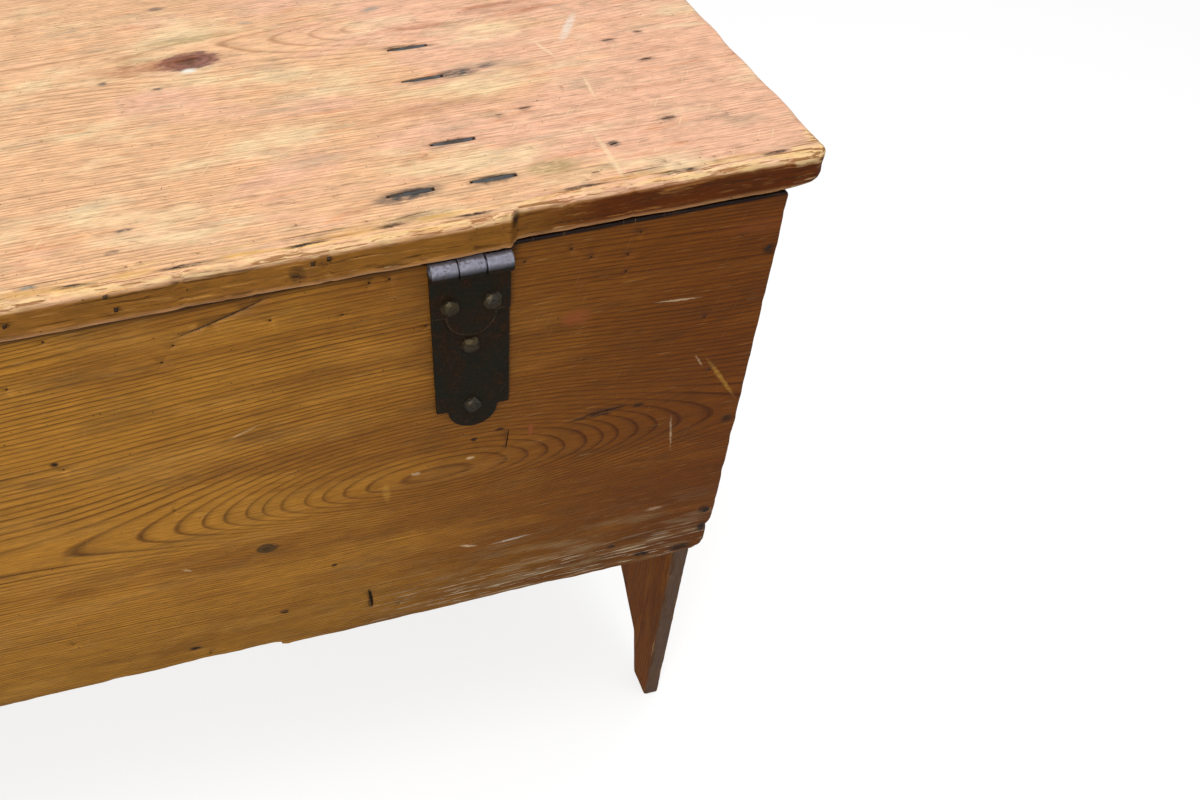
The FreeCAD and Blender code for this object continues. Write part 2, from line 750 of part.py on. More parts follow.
def build_nails(document, s):
    rose = build_rose_nail(document, s)
    carcass = build_carcass_nail(document, s, "carcass_nail", s.carcass_shank)
    short = build_carcass_nail(document, s, "bottom_nail", s.bottom_shank)
    through_one = build_clenched_nail(document, s, "clenched_nail", s.single_depth)
    through_two = build_clenched_nail(document, s, "long_clenched_nail", s.double_depth)

    groups = []
    for name, side in (("left", -1), ("right", 1)):
        hinge_x = s.hinge_x * side
        nails = []
        for across, drop in back_nail_places(s):
            doubled = drop is s.back_pair
            proud = s.double_depth if doubled else s.single_depth
            nails.append((rose, TO_BACK, (across + hinge_x, s.back_face + proud, s.pin_z - drop)))
        groups.append(nail_group(document, "hinge_%s_back_nails" % name, nails))

        nails = []
        flip = Rotation(Vector(0, 0, 1), 180 if side > 0 else 0)
        for across, reach, doubled in lid_nail_places(s):
            nail, depth = (through_two, s.double_depth) if doubled else (through_one, s.single_depth)
            spot = (across * -side + hinge_x, s.pin_y - reach, s.lid_level - depth)
            nails.append((nail, flip.multiply(UPSIDE_DOWN), spot))
        groups.append(nail_group(document, "hinge_%s_lid_nails" % name, nails))

        x = (s.half_length - s.end_thickness / 2) * side
        for board, rotation, y in (
                ("back", TO_BACK, s.back_face - s.head_thickness),
                ("front", TO_FRONT, s.front_face + s.head_thickness)):
            nails = [(carcass, rotation, (x, y, s.board_top - drop)) for drop in s.nail_drops]
            groups.append(nail_group(document, "%s_nails_%s" % (board, name), nails))

        x = (s.half_length - s.head_thickness) * side
        z = s.bottom_level + s.bottom_thickness / 2
        turn = TO_RIGHT if side > 0 else TO_LEFT
        nails = [(short, turn, (x, s.shift + y, z)) for y in bottom_places(s)]
        groups.append(nail_group(document, "bottom_nails_%s" % name, nails))
    return groups


# Document, checks and files

def check(document, parts):
    """Stops if any object failed or any piece has no valid shape."""
    for thing in document.Objects:
        if "Invalid" in thing.State or "Error" in thing.State:
            raise RuntimeError("%s failed: %s" % (thing.Label, thing.State))
    for part in parts:
        if part.Shape.isNull() or not part.Shape.isValid():
            raise RuntimeError("%s has no valid shape" % part.Label)


def main():
    document = FreeCAD.newDocument("blanket_chest")
    s = Sizes(document)
    parts = [build_back_board(document, s), build_front_board(document, s), build_lid(document, s)]
    for name, y in zip(("front", "middle", "back"), bottom_places(s)):
        parts.append(build_bottom_board(document, s, "bottom_board_" + name, y))
    for name, side in (("left", -1), ("right", 1)):
        parts.append(build_end_board(document, s, "end_board_" + name, side))
        parts.append(build_back_strap(document, s, "hinge_%s_back_strap" % name, side))
        parts.append(build_lid_strap(document, s, "hinge_%s_lid_strap" % name, side))
        parts.append(build_pin(document, s, "hinge_%s_pin" % name, side))
    parts += build_nails(document, s)
    document.recompute()
    check(document, parts)
    os.makedirs("parts", exist_ok=True)
    for part in parts:
        part.Shape.exportStep("parts/%s.step" % part.Label)
        print("%-26s %2d solids %12.1f mm3" % (part.Label, len(part.Shape.Solids), part.Shape.Volume))


main()
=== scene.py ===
import logging
import math
import random
from dataclasses import dataclass, field
from enum import Enum
from typing import Any, Callable, Optional, Sequence

import bmesh
import bpy
import numpy as np
from mathutils import Matrix, Vector, geometry, kdtree, noise


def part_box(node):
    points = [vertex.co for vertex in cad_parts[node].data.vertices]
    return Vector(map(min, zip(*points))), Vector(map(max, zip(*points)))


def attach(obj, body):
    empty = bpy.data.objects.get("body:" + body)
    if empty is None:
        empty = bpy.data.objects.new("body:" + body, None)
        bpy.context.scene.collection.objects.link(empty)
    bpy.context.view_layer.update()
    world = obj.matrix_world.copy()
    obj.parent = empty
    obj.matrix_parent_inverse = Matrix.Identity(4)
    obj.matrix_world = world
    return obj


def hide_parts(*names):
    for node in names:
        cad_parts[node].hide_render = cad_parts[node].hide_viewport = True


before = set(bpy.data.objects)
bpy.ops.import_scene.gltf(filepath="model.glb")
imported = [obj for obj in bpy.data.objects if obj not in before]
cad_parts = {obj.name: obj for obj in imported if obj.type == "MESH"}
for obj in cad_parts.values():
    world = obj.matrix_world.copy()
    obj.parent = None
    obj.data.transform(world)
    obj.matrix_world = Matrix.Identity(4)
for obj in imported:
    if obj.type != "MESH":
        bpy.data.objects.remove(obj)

# The looks of an old boarded pine chest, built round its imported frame. Sizes are millimetres until a
# mesh is made. X runs along the chest, Y from the front to the back and Z up; left is the -X end.

LOG = logging.getLogger("blanket_chest")
MM = 0.001
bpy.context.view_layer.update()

MATH = "ShaderNodeMath"
VECTOR = "ShaderNodeVectorMath"
NOISE = "ShaderNodeTexNoise"
RAMP = "ShaderNodeValToRGB"
MIX = "ShaderNodeMix"
RANGE = "ShaderNodeMapRange"
MAPPING = "ShaderNodeMapping"
Point = tuple[float, float]
Socket = bpy.types.NodeSocket

# Places and sizes that the frame's parts share
BACK_FACE, FRONT_FACE = 218.3, -211.7
BOARD_TOP, BOARD_LOW = 650.0, 290.0
BOARD_THICK, END_THICK = 23.0, 15.0
HALF_LENGTH = 530.0
LID_LOW, LID_TOP = 650.3, 674.3
PIN_Y, PIN_Z = 225.15, 643.45
HINGE_X = 327.0


def linear(code: str) -> tuple[float, float, float, float]:
    """Turns an sRGB hex colour to linear light.

    Args:
        code: Six hex digits.

    Returns:
        Red, green, blue and a full alpha.
    """
    parts = [int(code[i:i + 2], 16) / 255 for i in (0, 2, 4)]
    red, green, blue = (p / 12.92 if p <= 0.04045 else ((p + 0.055) / 1.055) ** 2.4 for p in parts)
    return red, green, blue, 1.0


def add(tree: bpy.types.NodeTree, kind: str, inputs: Any = (), out: Any = 0, stops: Any = (),
        **settings: Any) -> Socket:
    """Adds a node with its settings and links.

    Args:
        tree: The tree it goes in.
        kind: The node's type name.
        inputs: Values or sockets for its inputs, in order or by name or number.
        out: Which output is wanted.
        stops: Positions and colours, for a node with a colour ramp.
        settings: The node's own properties.

    Returns:
        The wanted output.
    """
    node = tree.nodes.new(kind)
    for key, value in settings.items():
        setattr(node, key, value)
    for key, value in (inputs.items() if isinstance(inputs, dict) else enumerate(inputs)):
        if isinstance(value, Socket):
            tree.links.new(value, node.inputs[key])
        elif value is not None:
            node.inputs[key].default_value = value
    if stops:
        ramp = node.color_ramp
        while len(ramp.elements) > len(stops):
            ramp.elements.remove(ramp.elements[-1])
        for number, (position, level) in enumerate(stops):
            element = ramp.elements[number] if number < len(ramp.elements) else ramp.elements.new(position)
            element.position = position
            element.color = level if isinstance(level, tuple) else (level, level, level, 1.0)
    return node.outputs[out]


# Materials

class Stain(Enum):
    """What a mark on a board is, with the colour it leaves."""

    DARK = "2a1a0e"
    IRON = "4a4440"
    GREY = "8d8578"
    RED = "8a4a24"
    PALE = "e6c9a0"
    YELLOW = "c08f3c"
    WHITE = "ddd6c8"
    OLIVE = "8f7b4c"


@dataclass(frozen=True)
class Mark:
    """A stain, scratch or dent in a board: an ellipse with a frayed edge, w below its face."""

    stain: Stain
    u: float
    v: float
    long: float
    wide: float
    turn: float = 0.0
    full: float = 1.0
    w: float = 0.0


@dataclass(frozen=True)
class Patch:
    """Broad uneven patches of another colour, of that length and width in millimetres."""

    colour: str
    long: float
    wide: float
    share: float
    start: float = 0.45
    stop: float = 0.66
    lean: Optional[tuple[float, float]] = None
    within: Sequence[tuple[int, float, float]] = ()


@dataclass(frozen=True)
class Shade:
    """A change of colour from one place to another along one of a board's directions."""

    axis: int
    start: float
    stop: float
    colour: str
    multiply: bool = True
    within: Sequence[tuple[int, float, float]] = ()


@dataclass(frozen=True)
class Knot:
    """A knot that the grain flows round."""

    u: float
    v: float
    radius: float
    stretch: float = 1.8
    heart: str = "5a3322"


@dataclass(frozen=True)
class Pine:
    """Old pine: a solid grain of growth rings, with knots, stains, wear, dirt and painted shade.

    A board's own directions are u along the grain, v across its face and w into it. The rings run round a
    pith that lies behind the face, nearer to it round one place, where the face cuts them to a flame.
    """

    name: str
    rotation: tuple[float, float, float]
    flip: tuple[float, float, float]
    offset: tuple[float, float, float]
    early: str
    late: str
    bare: str
    patches: tuple[Patch, ...] = ()
    shades: tuple[Shade, ...] = ()
    streaks: tuple[Patch, ...] = ()
    ring: float = 4.0
    pith_v: float = 0.0
    pith_w: float = 25.0
    flame_u: float = 0.0
    flame_rise: float = 35.0
    flame_reach: float = 200.0
    squeeze: float = 1.0
    waviness: float = 9.0
    line: float = 0.8
    mottle: float = 0.3
    pores: float = 0.32
    scratches: tuple[tuple[float, str, float], ...] = ()
    seed: float = 0.0
    roughness: float = 0.5
    wear_width: float = 9.0
    knots: tuple[Knot, ...] = ()
    marks: tuple[Mark, ...] = ()

    def build(self) -> bpy.types.Material:
        """Makes the material's nodes.

        Returns:
            The material.
        """
        material = bpy.data.materials.new(self.name)
        material.use_nodes = True
        tree = material.node_tree
        shader = tree.nodes["Principled BSDF"]
        board = self._board(tree)
        axes = add(tree, "ShaderNodeSeparateXYZ", (board,)).node.outputs
        across, hearts = self._flow(tree, board, axes)
        late, radius = self._rings(tree, axes, across)
        fibre = self._noise(tree, board, (48, 1.7, 1.7), 4.0)
        pore = add(tree, RANGE, (self._noise(tree, board, (16, 0.8, 0.8), 2.0, 5.0), 0.60, 0.70))
        colour = self._wood_colour(tree, board, axes, late, fibre, pore)
        grime = add(tree, NOISE, {"Vector": board, "Scale": 0.3, "Detail": 4.0, "Roughness": 0.7})
        for knot, (distance, heart) in zip(self.knots, hearts):
            rings = add(tree, MATH, (add(tree, MATH, (distance, 21.0), operation="MULTIPLY"),), operation="SINE")
            rings = add(tree, MATH, (grime, 9.0, rings), operation="MULTIPLY_ADD")
            dark = add(tree, MIX, {0: add(tree, RANGE, (rings, 3.9, 6.0, 0.0, 0.9)),
                                   6: linear(knot.heart), 7: linear(Stain.DARK.value)}, 2, data_type="RGBA")
            heart = add(tree, MATH, (heart, 0.88), operation="MULTIPLY")
            colour = add(tree, MIX, {0: heart, 6: colour, 7: dark}, 2, data_type="RGBA")
        colour, dug = self._stains(tree, board, colour)
        colour, bare = self._wear(tree, board, colour, fibre)
        # Painted shade: the insides of holes, slots and cracks are painted near black.
        hollow = add(tree, "ShaderNodeAttribute", (), "Fac", attribute_name="hollow")
        colour = add(tree, MIX, {0: add(tree, RANGE, (hollow, 0.05, 0.5, 0.0, 0.93)), 6: colour,
                                 7: linear("1c1009")}, 2, data_type="RGBA")
        tree.links.new(colour, shader.inputs["Base Color"])
        rough = add(tree, MATH, (fibre, 0.25, self.roughness - 0.12), operation="MULTIPLY_ADD")
        rough = add(tree, MATH, (bare, 0.2, rough), operation="MULTIPLY_ADD", use_clamp=True)
        tree.links.new(rough, shader.inputs["Roughness"])
        shader.inputs["Specular IOR Level"].default_value = 0.14
        height = add(tree, MATH, (late, 0.35, fibre), operation="MULTIPLY_ADD")
        height = add(tree, MATH, (pore, -0.5, height), operation="MULTIPLY_ADD")
        height = add(tree, MATH, (dug, -1.6, height), operation="MULTIPLY_ADD")
        rub = self._noise(tree, board, (9, 4, 4), 3.0, 11.0)
        height = add(tree, MATH, (rub, 0.9, height), operation="MULTIPLY_ADD")
        normal = add(tree, "ShaderNodeBump", {"Strength": 0.55, "Distance": 0.5 * MM, "Height": height})
        tree.links.new(normal, shader.inputs["Normal"])
        return material

    def _board(self, tree: bpy.types.NodeTree) -> Socket:
        """The place on the board in millimetres along u, v and w."""
        place = add(tree, "ShaderNodeTexCoord", (), "Object")
        scale = tuple(1000.0 * side for side in self.flip)
        turned = add(tree, MAPPING, (place, (0, 0, 0), self.rotation, (1, 1, 1)))
        return add(tree, MAPPING, (turned, self.offset, (0, 0, 0), scale))

    def _noise(self, tree: bpy.types.NodeTree, board: Socket, size: tuple[float, float, float],
               detail: float = 2.0, shift: float = 0.0) -> Socket:
        """Noise with features of that many millimetres along u, v and w."""
        scale = tuple(1.0 / s for s in size)
        moved = (self.seed + shift, 2 * self.seed - shift, shift)
        place = add(tree, MAPPING, (board, moved, (0, 0, 0), scale))
        return add(tree, NOISE, {"Vector": place, "Scale": 1.0, "Detail": detail, "Roughness": 0.6})

    def _flow(self, tree: bpy.types.NodeTree, board: Socket, axes: Sequence[Socket]) -> tuple[Socket, list]:
        """Where the grain runs across the board once it has swayed and gone round the knots.

        Returns:
            The place across the grain, and each knot's distance and heart mask.
        """
        sway = self._noise(tree, board, (420, 130, 130), 1.0, 3.0)
        across = add(tree, MATH, (sway, self.waviness * 2, axes[1]), operation="MULTIPLY_ADD")
        ripple = self._noise(tree, board, (70, 22, 22), 1.0, 7.0)
        across = add(tree, MATH, (ripple, self.waviness * 0.25, across), operation="MULTIPLY_ADD")
        fray = self._noise(tree, board, (12, 4, 4), 4.0, 43.0)
        hearts = []
        for knot in self.knots:
            reach = (knot.radius * knot.stretch, knot.radius, 60.0)
            local = add(tree, MAPPING, (board, (knot.u, knot.v, 0), (0, 0, 0), reach), vector_type="TEXTURE")
            square = add(tree, VECTOR, (local, local), "Value", operation="DOT_PRODUCT")
            outside = add(tree, MATH, (square, 1.0), operation="MAXIMUM")
            side = add(tree, MATH, (axes[1], knot.v), operation="SUBTRACT")
            push = add(tree, MATH, (side, outside), operation="DIVIDE")
            across = add(tree, MATH, (across, push), operation="SUBTRACT")
            frayed = add(tree, MATH, (fray, 1.8, square), operation="MULTIPLY_ADD")
            hearts.append((square, add(tree, RANGE, (frayed, 2.1, 1.4), interpolation_type="SMOOTHSTEP")))
        return across, hearts

    def _rings(self, tree: bpy.types.NodeTree, axes: Sequence[Socket], across: Socket) -> tuple[Socket, Socket]:
        """The growth rings.

        Returns:
            How much of the surface is dark latewood, and the distance from the pith.
        """
        side = add(tree, MATH, (across, self.pith_v + self.waviness * 1.1), operation="SUBTRACT")
        above = add(tree, MATH, (side, 0.0), operation="MAXIMUM")
        below = add(tree, MATH, (side, 0.0), operation="MINIMUM")
        side = add(tree, MATH, (below, self.squeeze, above), operation="MULTIPLY_ADD")
        along = add(tree, MATH, (axes[0], 1 / self.flame_reach, -self.flame_u / self.flame_reach),
                    operation="MULTIPLY_ADD")
        square = add(tree, MATH, (along, along), operation="MULTIPLY")
        dip = add(tree, MATH, (math.e, add(tree, MATH, (square, -1.0), operation="MULTIPLY")), operation="POWER")
        depth = add(tree, MATH, (dip, -self.flame_rise, self.pith_w + self.flame_rise), operation="MULTIPLY_ADD")
        depth = add(tree, MATH, (depth, axes[2]), operation="ADD")
        radius = add(tree, VECTOR, (add(tree, "ShaderNodeCombineXYZ", (side, depth)),), "Value", operation="LENGTH")
        uneven = add(tree, NOISE, {"W": add(tree, MATH, (radius, 1 / (self.ring * 4)), operation="MULTIPLY"),
                                   "Scale": 1.0, "Detail": 1.0}, noise_dimensions="1D")
        count = add(tree, MATH, (radius, 1 / self.ring), operation="MULTIPLY")
        count = add(tree, MATH, (uneven, 1.5, count), operation="MULTIPLY_ADD")
        phase = add(tree, MATH, (count,), operation="FRACT")
        late = add(tree, RAMP, (phase,), stops=((0.0, 0.7), (0.07, 0.04), (0.55, 0.0), (0.80, 0.35),
                                                (0.92, 1.0), (1.0, 0.7)))
        return late, radius

    def _wood_colour(self, tree: bpy.types.NodeTree, board: Socket, axes: Sequence[Socket], late: Socket,
                     fibre: Socket, pore: Socket) -> Socket:
        """The wood without its marks: rings, broad patches of colour, fibres and pores."""
        strength = self._noise(tree, board, (260, 38, 38), 2.0, 13.0)
        strength = add(tree, RANGE, (strength, 0.30, 0.58, self.line * 0.5, self.line))
        lines = add(tree, MATH, (late, strength), operation="MULTIPLY")
        colour = add(tree, MIX, {0: lines, 6: linear(self.early), 7: linear(self.late)}, 2, data_type="RGBA")
        colour = self._laid(tree, board, axes, colour, self.patches, 17.0)
        for shade in self.shades:
            level = add(tree, RANGE, (axes[shade.axis], shade.start, shade.stop), interpolation_type="SMOOTHSTEP")
            for axis, start, stop in shade.within:
                band = add(tree, RANGE, (axes[axis], start, stop), interpolation_type="SMOOTHSTEP")
                level = add(tree, MATH, (level, band), operation="MULTIPLY")
            colour = add(tree, MIX, {0: level, 6: colour, 7: linear(shade.colour)}, 2, data_type="RGBA",
                         blend_type="MULTIPLY" if shade.multiply else "MIX")
        colour = self._laid(tree, board, axes, colour, self.streaks, 91.0)
        fine = self._noise(tree, board, (11, 1.1, 1.1), 3.0, 31.0)
        shade = add(tree, MATH, (fibre, 1.1, add(tree, MATH, (fine, 0.9, -0.02), operation="MULTIPLY_ADD")),
                    operation="MULTIPLY_ADD")
        mottle = self._noise(tree, board, (16, 9, 9), 5.0, 33.0)
        shade = add(tree, MATH, (mottle, self.mottle, shade), operation="MULTIPLY_ADD")
        shade = add(tree, MATH, (shade, self.mottle * -0.5), operation="ADD")
        shade = add(tree, RANGE, (shade, 0.55, 1.45, 0.55, 1.42))
        colour = add(tree, MIX, {0: 0.85, 6: colour, 7: shade}, 2, data_type="RGBA", blend_type="MULTIPLY")
        dark = add(tree, MATH, (pore, self.pores), operation="MULTIPLY")
        colour = add(tree, MIX, {0: dark, 6: colour, 7: linear(self.late)}, 2, data_type="RGBA")
        for number, (turn, tone, share) in enumerate(self.scratches):
            turned = add(tree, MAPPING, (board, (0, 0, 0), (0, 0, math.radians(turn)), (1, 1, 1)))
            cut = self._noise(tree, turned, (30, 1.0, 90), 1.0, 51.0 + 3 * number)
            cut = add(tree, RANGE, (cut, 0.71, 0.75, 0.0, share))
            cut = add(tree, MATH, (cut, add(tree, RANGE, (axes[2], 1.5, 3.0, 1.0, 0.0))), operation="MULTIPLY")
            colour = add(tree, MIX, {0: cut, 6: colour, 7: linear(tone)}, 2, data_type="RGBA")
        fleck = add(tree, NOISE, {"Vector": board, "Scale": 0.42, "Detail": 2.0})
        fleck = add(tree, RANGE, (fleck, 0.70, 0.76, 0.0, 0.75))
        return add(tree, MIX, {0: fleck, 6: colour, 7: linear(Stain.DARK.value)}, 2, data_type="RGBA")

    def _laid(self, tree: bpy.types.NodeTree, board: Socket, axes: Sequence[Socket], colour: Socket,
              patches: Sequence[Patch], shift: float) -> Socket:
        """Lays patches of other colours over the wood."""
        for number, patch in enumerate(patches):
            level = self._noise(tree, board, (patch.long, patch.wide, patch.wide), 5.0, shift + 6 * number)
            if patch.lean is not None:
                lean = add(tree, RANGE, (axes[0], *patch.lean, -0.14, 0.2))
                level = add(tree, MATH, (level, lean), operation="ADD")
            level = add(tree, RANGE, (level, patch.start, patch.stop, 0.0, patch.share),
                        interpolation_type="SMOOTHSTEP")
            for axis, start, stop in patch.within:
                band = add(tree, RANGE, (axes[axis], start, stop), interpolation_type="SMOOTHSTEP")
                level = add(tree, MATH, (level, band), operation="MULTIPLY")
            colour = add(tree, MIX, {0: level, 6: colour, 7: linear(patch.colour)}, 2, data_type="RGBA")
        return colour

    def _stains(self, tree: bpy.types.NodeTree, board: Socket, colour: Socket) -> tuple[Socket, Socket]:
        """Lays the marks over the wood, one layer for each kind.

        Returns:
            The colour, and how deeply the surface is dug by its dark marks.
        """
        broken = add(tree, RANGE, (self._noise(tree, board, (7, 1.6, 1.6), 3.0, 41.0), 0.34, 0.56, 0.35, 1.0))
        fray = add(tree, NOISE, {"Vector": board, "Scale": 0.35, "Detail": 4.0, "Roughness": 0.7}, "Color")
        fray = add(tree, VECTOR, (fray, (0.5, 0.5, 0.5)), operation="SUBTRACT")
        frayed = add(tree, VECTOR, (fray, (4.0, 2.2, 0.0), board), operation="MULTIPLY_ADD")
        dug = 0.0
        for stain in Stain:
            mask = None
            for mark in (m for m in self.marks if m.stain is stain):
                size = (mark.long * 0.68, mark.wide * 0.68, 8.0)
                centre = (mark.u, mark.v, mark.w)
                local = add(tree, MAPPING, (frayed, centre, (0, 0, math.radians(mark.turn)), size),
                            vector_type="TEXTURE")
                spot = add(tree, "ShaderNodeTexGradient", (local,), "Fac", gradient_type="SPHERICAL")
                spot = add(tree, RANGE, (spot, 0.0, 0.75, 0.0, mark.full * 1.2), interpolation_type="SMOOTHSTEP")
                mask = spot if mask is None else add(tree, MATH, (mask, spot), operation="MAXIMUM")
            if mask is None:
                continue
            mask = add(tree, MATH, (mask, broken), operation="MULTIPLY", use_clamp=True)
            colour = add(tree, MIX, {0: mask, 6: colour, 7: linear(stain.value)}, 2, data_type="RGBA")
            if stain in (Stain.DARK, Stain.IRON):
                dug = add(tree, MATH, (mask, dug), operation="MAXIMUM")
        return colour, dug

    def _wear(self, tree: bpy.types.NodeTree, board: Socket, colour: Socket,
              fibre: Socket) -> tuple[Socket, Socket]:
        """Shows bare wood along the worn arrises.

        Returns:
            The colour, and the mask of bare wood.
        """
        edge = add(tree, "ShaderNodeAttribute", (), "Fac", attribute_name="edge")
        wear = add(tree, "ShaderNodeAttribute", (), "Fac", attribute_name="wear")
        near = add(tree, RANGE, (edge, 0.0, self.wear_width, 1.0, 0.0))
        near = add(tree, MATH, (near, wear), operation="MULTIPLY")
        flakes = self._noise(tree, board, (26, 3, 3), 4.0, 29.0)
        level = add(tree, MATH, (near, 0.7, flakes), operation="MULTIPLY_ADD")
        bare = add(tree, RANGE, (level, 1.13, 1.30, 0.0, 0.8))
        colour = add(tree, MIX, {0: bare, 6: colour, 7: linear(self.bare)}, 2, data_type="RGBA")
        cracks = self._noise(tree, board, (42, 1.8, 1.8), 3.0, 37.0)
        level = add(tree, MATH, (near, 0.25, cracks), operation="MULTIPLY_ADD")
        split = add(tree, RANGE, (level, 0.77, 0.84, 0.0, 0.85))
        return add(tree, MIX, {0: split, 6: colour, 7: linear(self.late)}, 2, data_type="RGBA"), bare


@dataclass(frozen=True)
class Iron:
    """Forged iron under old wax: dark scale, rust where it stays damp, and bright steel where hands rub it on the
    knuckle's top, which is also a painted highlight; painted shade and a painted highlight line the foot and the lip of
    the lap's step.
    """

    name: str
    scale: str = "1c1a12"
    brown: str = "24180b"
    rust: str = "3a2110"
    steel: str = "73727c"
    rust_share: float = 0.4
    rubbed_with_highlight: bool = False
    metal: float = 0.1
    roughness: float = 0.5

    def build(self) -> bpy.types.Material:
        """Makes the material's nodes.

        Returns:
            The material.
        """
        material = bpy.data.materials.new(self.name)
        material.use_nodes = True
        tree = material.node_tree
        shader = tree.nodes["Principled BSDF"]
        shader.inputs["Specular IOR Level"].default_value = 0.12
        place = add(tree, "ShaderNodeTexCoord", (), "Object")
        board = add(tree, VECTOR, (place, (1000.0, 1000.0, 1000.0)), operation="MULTIPLY")
        cloud = add(tree, NOISE, {"Vector": board, "Scale": 0.07, "Detail": 4.0, "Roughness": 0.65})
        speck = add(tree, NOISE, {"Vector": board, "Scale": 0.6, "Detail": 3.0, "Roughness": 0.6})
        brown = add(tree, RANGE, (cloud, 0.42, 0.62))
        colour = add(tree, MIX, {0: brown, 6: linear(self.scale), 7: linear(self.brown)}, 2, data_type="RGBA")
        spots = add(tree, MATH, (cloud, 0.6, speck), operation="MULTIPLY_ADD")
        rust = add(tree, RANGE, (spots, 0.86, 1.02, 0.0, self.rust_share))
        colour = add(tree, MIX, {0: rust, 6: colour, 7: linear(self.rust)}, 2, data_type="RGBA")
        grime = add(tree, RAMP, (speck,), stops=((0.3, 0.72), (0.55, 1.0), (0.75, 1.4)))
        colour = add(tree, MIX, {0: 1.0, 6: colour, 7: grime}, 2, data_type="RGBA", blend_type="MULTIPLY")
        # Painted shade: a near-black line at the foot of the lap's step; painted highlight: a lighter brown line along
        # the step's lip.
        step_shade_and_lip_highlight = add(tree, "ShaderNodeAttribute", (), "Fac", attribute_name="step_shade_and_lip_highlight")
        colour = add(tree, MIX, {0: add(tree, RANGE, (step_shade_and_lip_highlight, 0.2, 0.9, 0.0, 0.8)), 6: colour,
                                 7: linear("0b0704")}, 2, data_type="RGBA")
        painted_lip_highlight = add(tree, MATH, (add(tree, RANGE, (step_shade_and_lip_highlight, -0.9, -0.2, 0.9, 0.0)), add(tree, RANGE, (speck, 0.4, 0.6))),
                  operation="MULTIPLY")
        colour = add(tree, MIX, {0: painted_lip_highlight, 6: colour, 7: linear("4a3a28")}, 2, data_type="RGBA")
        metal: Any = self.metal
        # Rubbed steel and a painted highlight: only the knuckle's half above the pin is painted lighter steel, and the
        # half below stays dark.
        if self.rubbed_with_highlight:
            axes = add(tree, "ShaderNodeSeparateXYZ", (board,)).node.outputs
            centred = add(tree, "ShaderNodeCombineXYZ", (
                add(tree, MATH, (axes[1], PIN_Y), operation="SUBTRACT"),
                add(tree, MATH, (axes[2], PIN_Z), operation="SUBTRACT")))
            reach = add(tree, VECTOR, (centred,), "Value", operation="LENGTH")
            barrel = add(tree, RANGE, (reach, 7.6, 7.0))
            above = add(tree, RANGE, (axes[2], PIN_Z - 0.5, PIN_Z + 3.0))
            rub = add(tree, MATH, (barrel, above), operation="MULTIPLY")
            patchy = add(tree, RANGE, (spots, 1.0, 0.85, 0.5, 1.0))
            rub = add(tree, MATH, (rub, patchy), operation="MULTIPLY")
            colour = add(tree, MIX, {0: rub, 6: colour, 7: linear(self.steel)}, 2, data_type="RGBA")
            metal = add(tree, RANGE, (rub, 0.0, 1.0, self.metal, 0.9))
        tree.links.new(colour, shader.inputs["Base Color"])
        if isinstance(metal, Socket):
            tree.links.new(metal, shader.inputs["Metallic"])
        else:
            shader.inputs["Metallic"].default_value = metal
        rough = add(tree, MATH, (speck, 0.3, self.roughness - 0.12), operation="MULTIPLY_ADD")
        tree.links.new(rough, shader.inputs["Roughness"])
        height = add(tree, MATH, (cloud, 2.0, speck), operation="MULTIPLY_ADD")
        normal = add(tree, "ShaderNodeBump", {"Strength": 0.6, "Distance": 0.35 * MM, "Height": height})
        tree.links.new(normal, shader.inputs["Normal"])
        return material


# Boards

def flat(level: float) -> Callable[[np.ndarray], np.ndarray]:
    """A size that is the same all over a board."""
    return lambda places: np.full(len(places), level)


def rough_noise(places: np.ndarray, size_u: float, size_v: float, seed: float) -> np.ndarray:
    """Smooth random values from -1 to 1 at places on a board.

    Args:
        places: u and v of each place.
        size_u: Length of a swell along the grain.
        size_v: The same across it.
        seed: Picks another pattern.

    Returns:
        One value for each place.
    """
    return np.array([noise.noise(Vector((u / size_u, v / size_v, seed))) for u, v in places])


@dataclass(frozen=True)
class Hollow:
    """A hole, slot or crack in one face of a board."""

    loop: tuple[Point, ...]
    depth: float
    floor: float = 0.85
    inner: bool = False


def worm_hole(u: float, v: float, radius: float = 1.1, depth: float = 3.5, inner: bool = False) -> Hollow:
    """A beetle's flight hole."""
    ring = tuple((u + radius * math.cos(k * math.pi / 4), v + radius * math.sin(k * math.pi / 4)) for k in range(8))
    return Hollow(ring, depth, inner=inner)


def slit(u: float, v: float, long: float, wide: float, turn: float = 0.0, depth: float = 1.5,
         bend: float = 0.0, inner: bool = False) -> Hollow:
    """A long pointed opening, such as a crack or a gouge.

    Args:
        u: Middle along the grain.
        v: Middle across it.
        long: Whole length.
        wide: Width at the middle.
        turn: Degrees from the grain.
        depth: How deep it goes.
        bend: How far its middle bows sideways.
        inner: Whether it is in the inner face.

    Returns:
        The hollow.
    """
    steps = 7
    cos, sin = math.cos(math.radians(turn)), math.sin(math.radians(turn))
    side = []
    for k in range(steps + 1):
        t = k / steps * 2 - 1
        half = wide / 2 * (1 - t * t) ** 0.5
        side.append((t * long / 2, bend * (1 - t * t), half))
    loop = [(a, b - h) for a, b, h in side] + [(a, b + h) for a, b, h in reversed(side[1:-1])]
    return Hollow(tuple((u + a * cos - b * sin, v + a * sin + b * cos) for a, b in loop), depth, inner=inner)


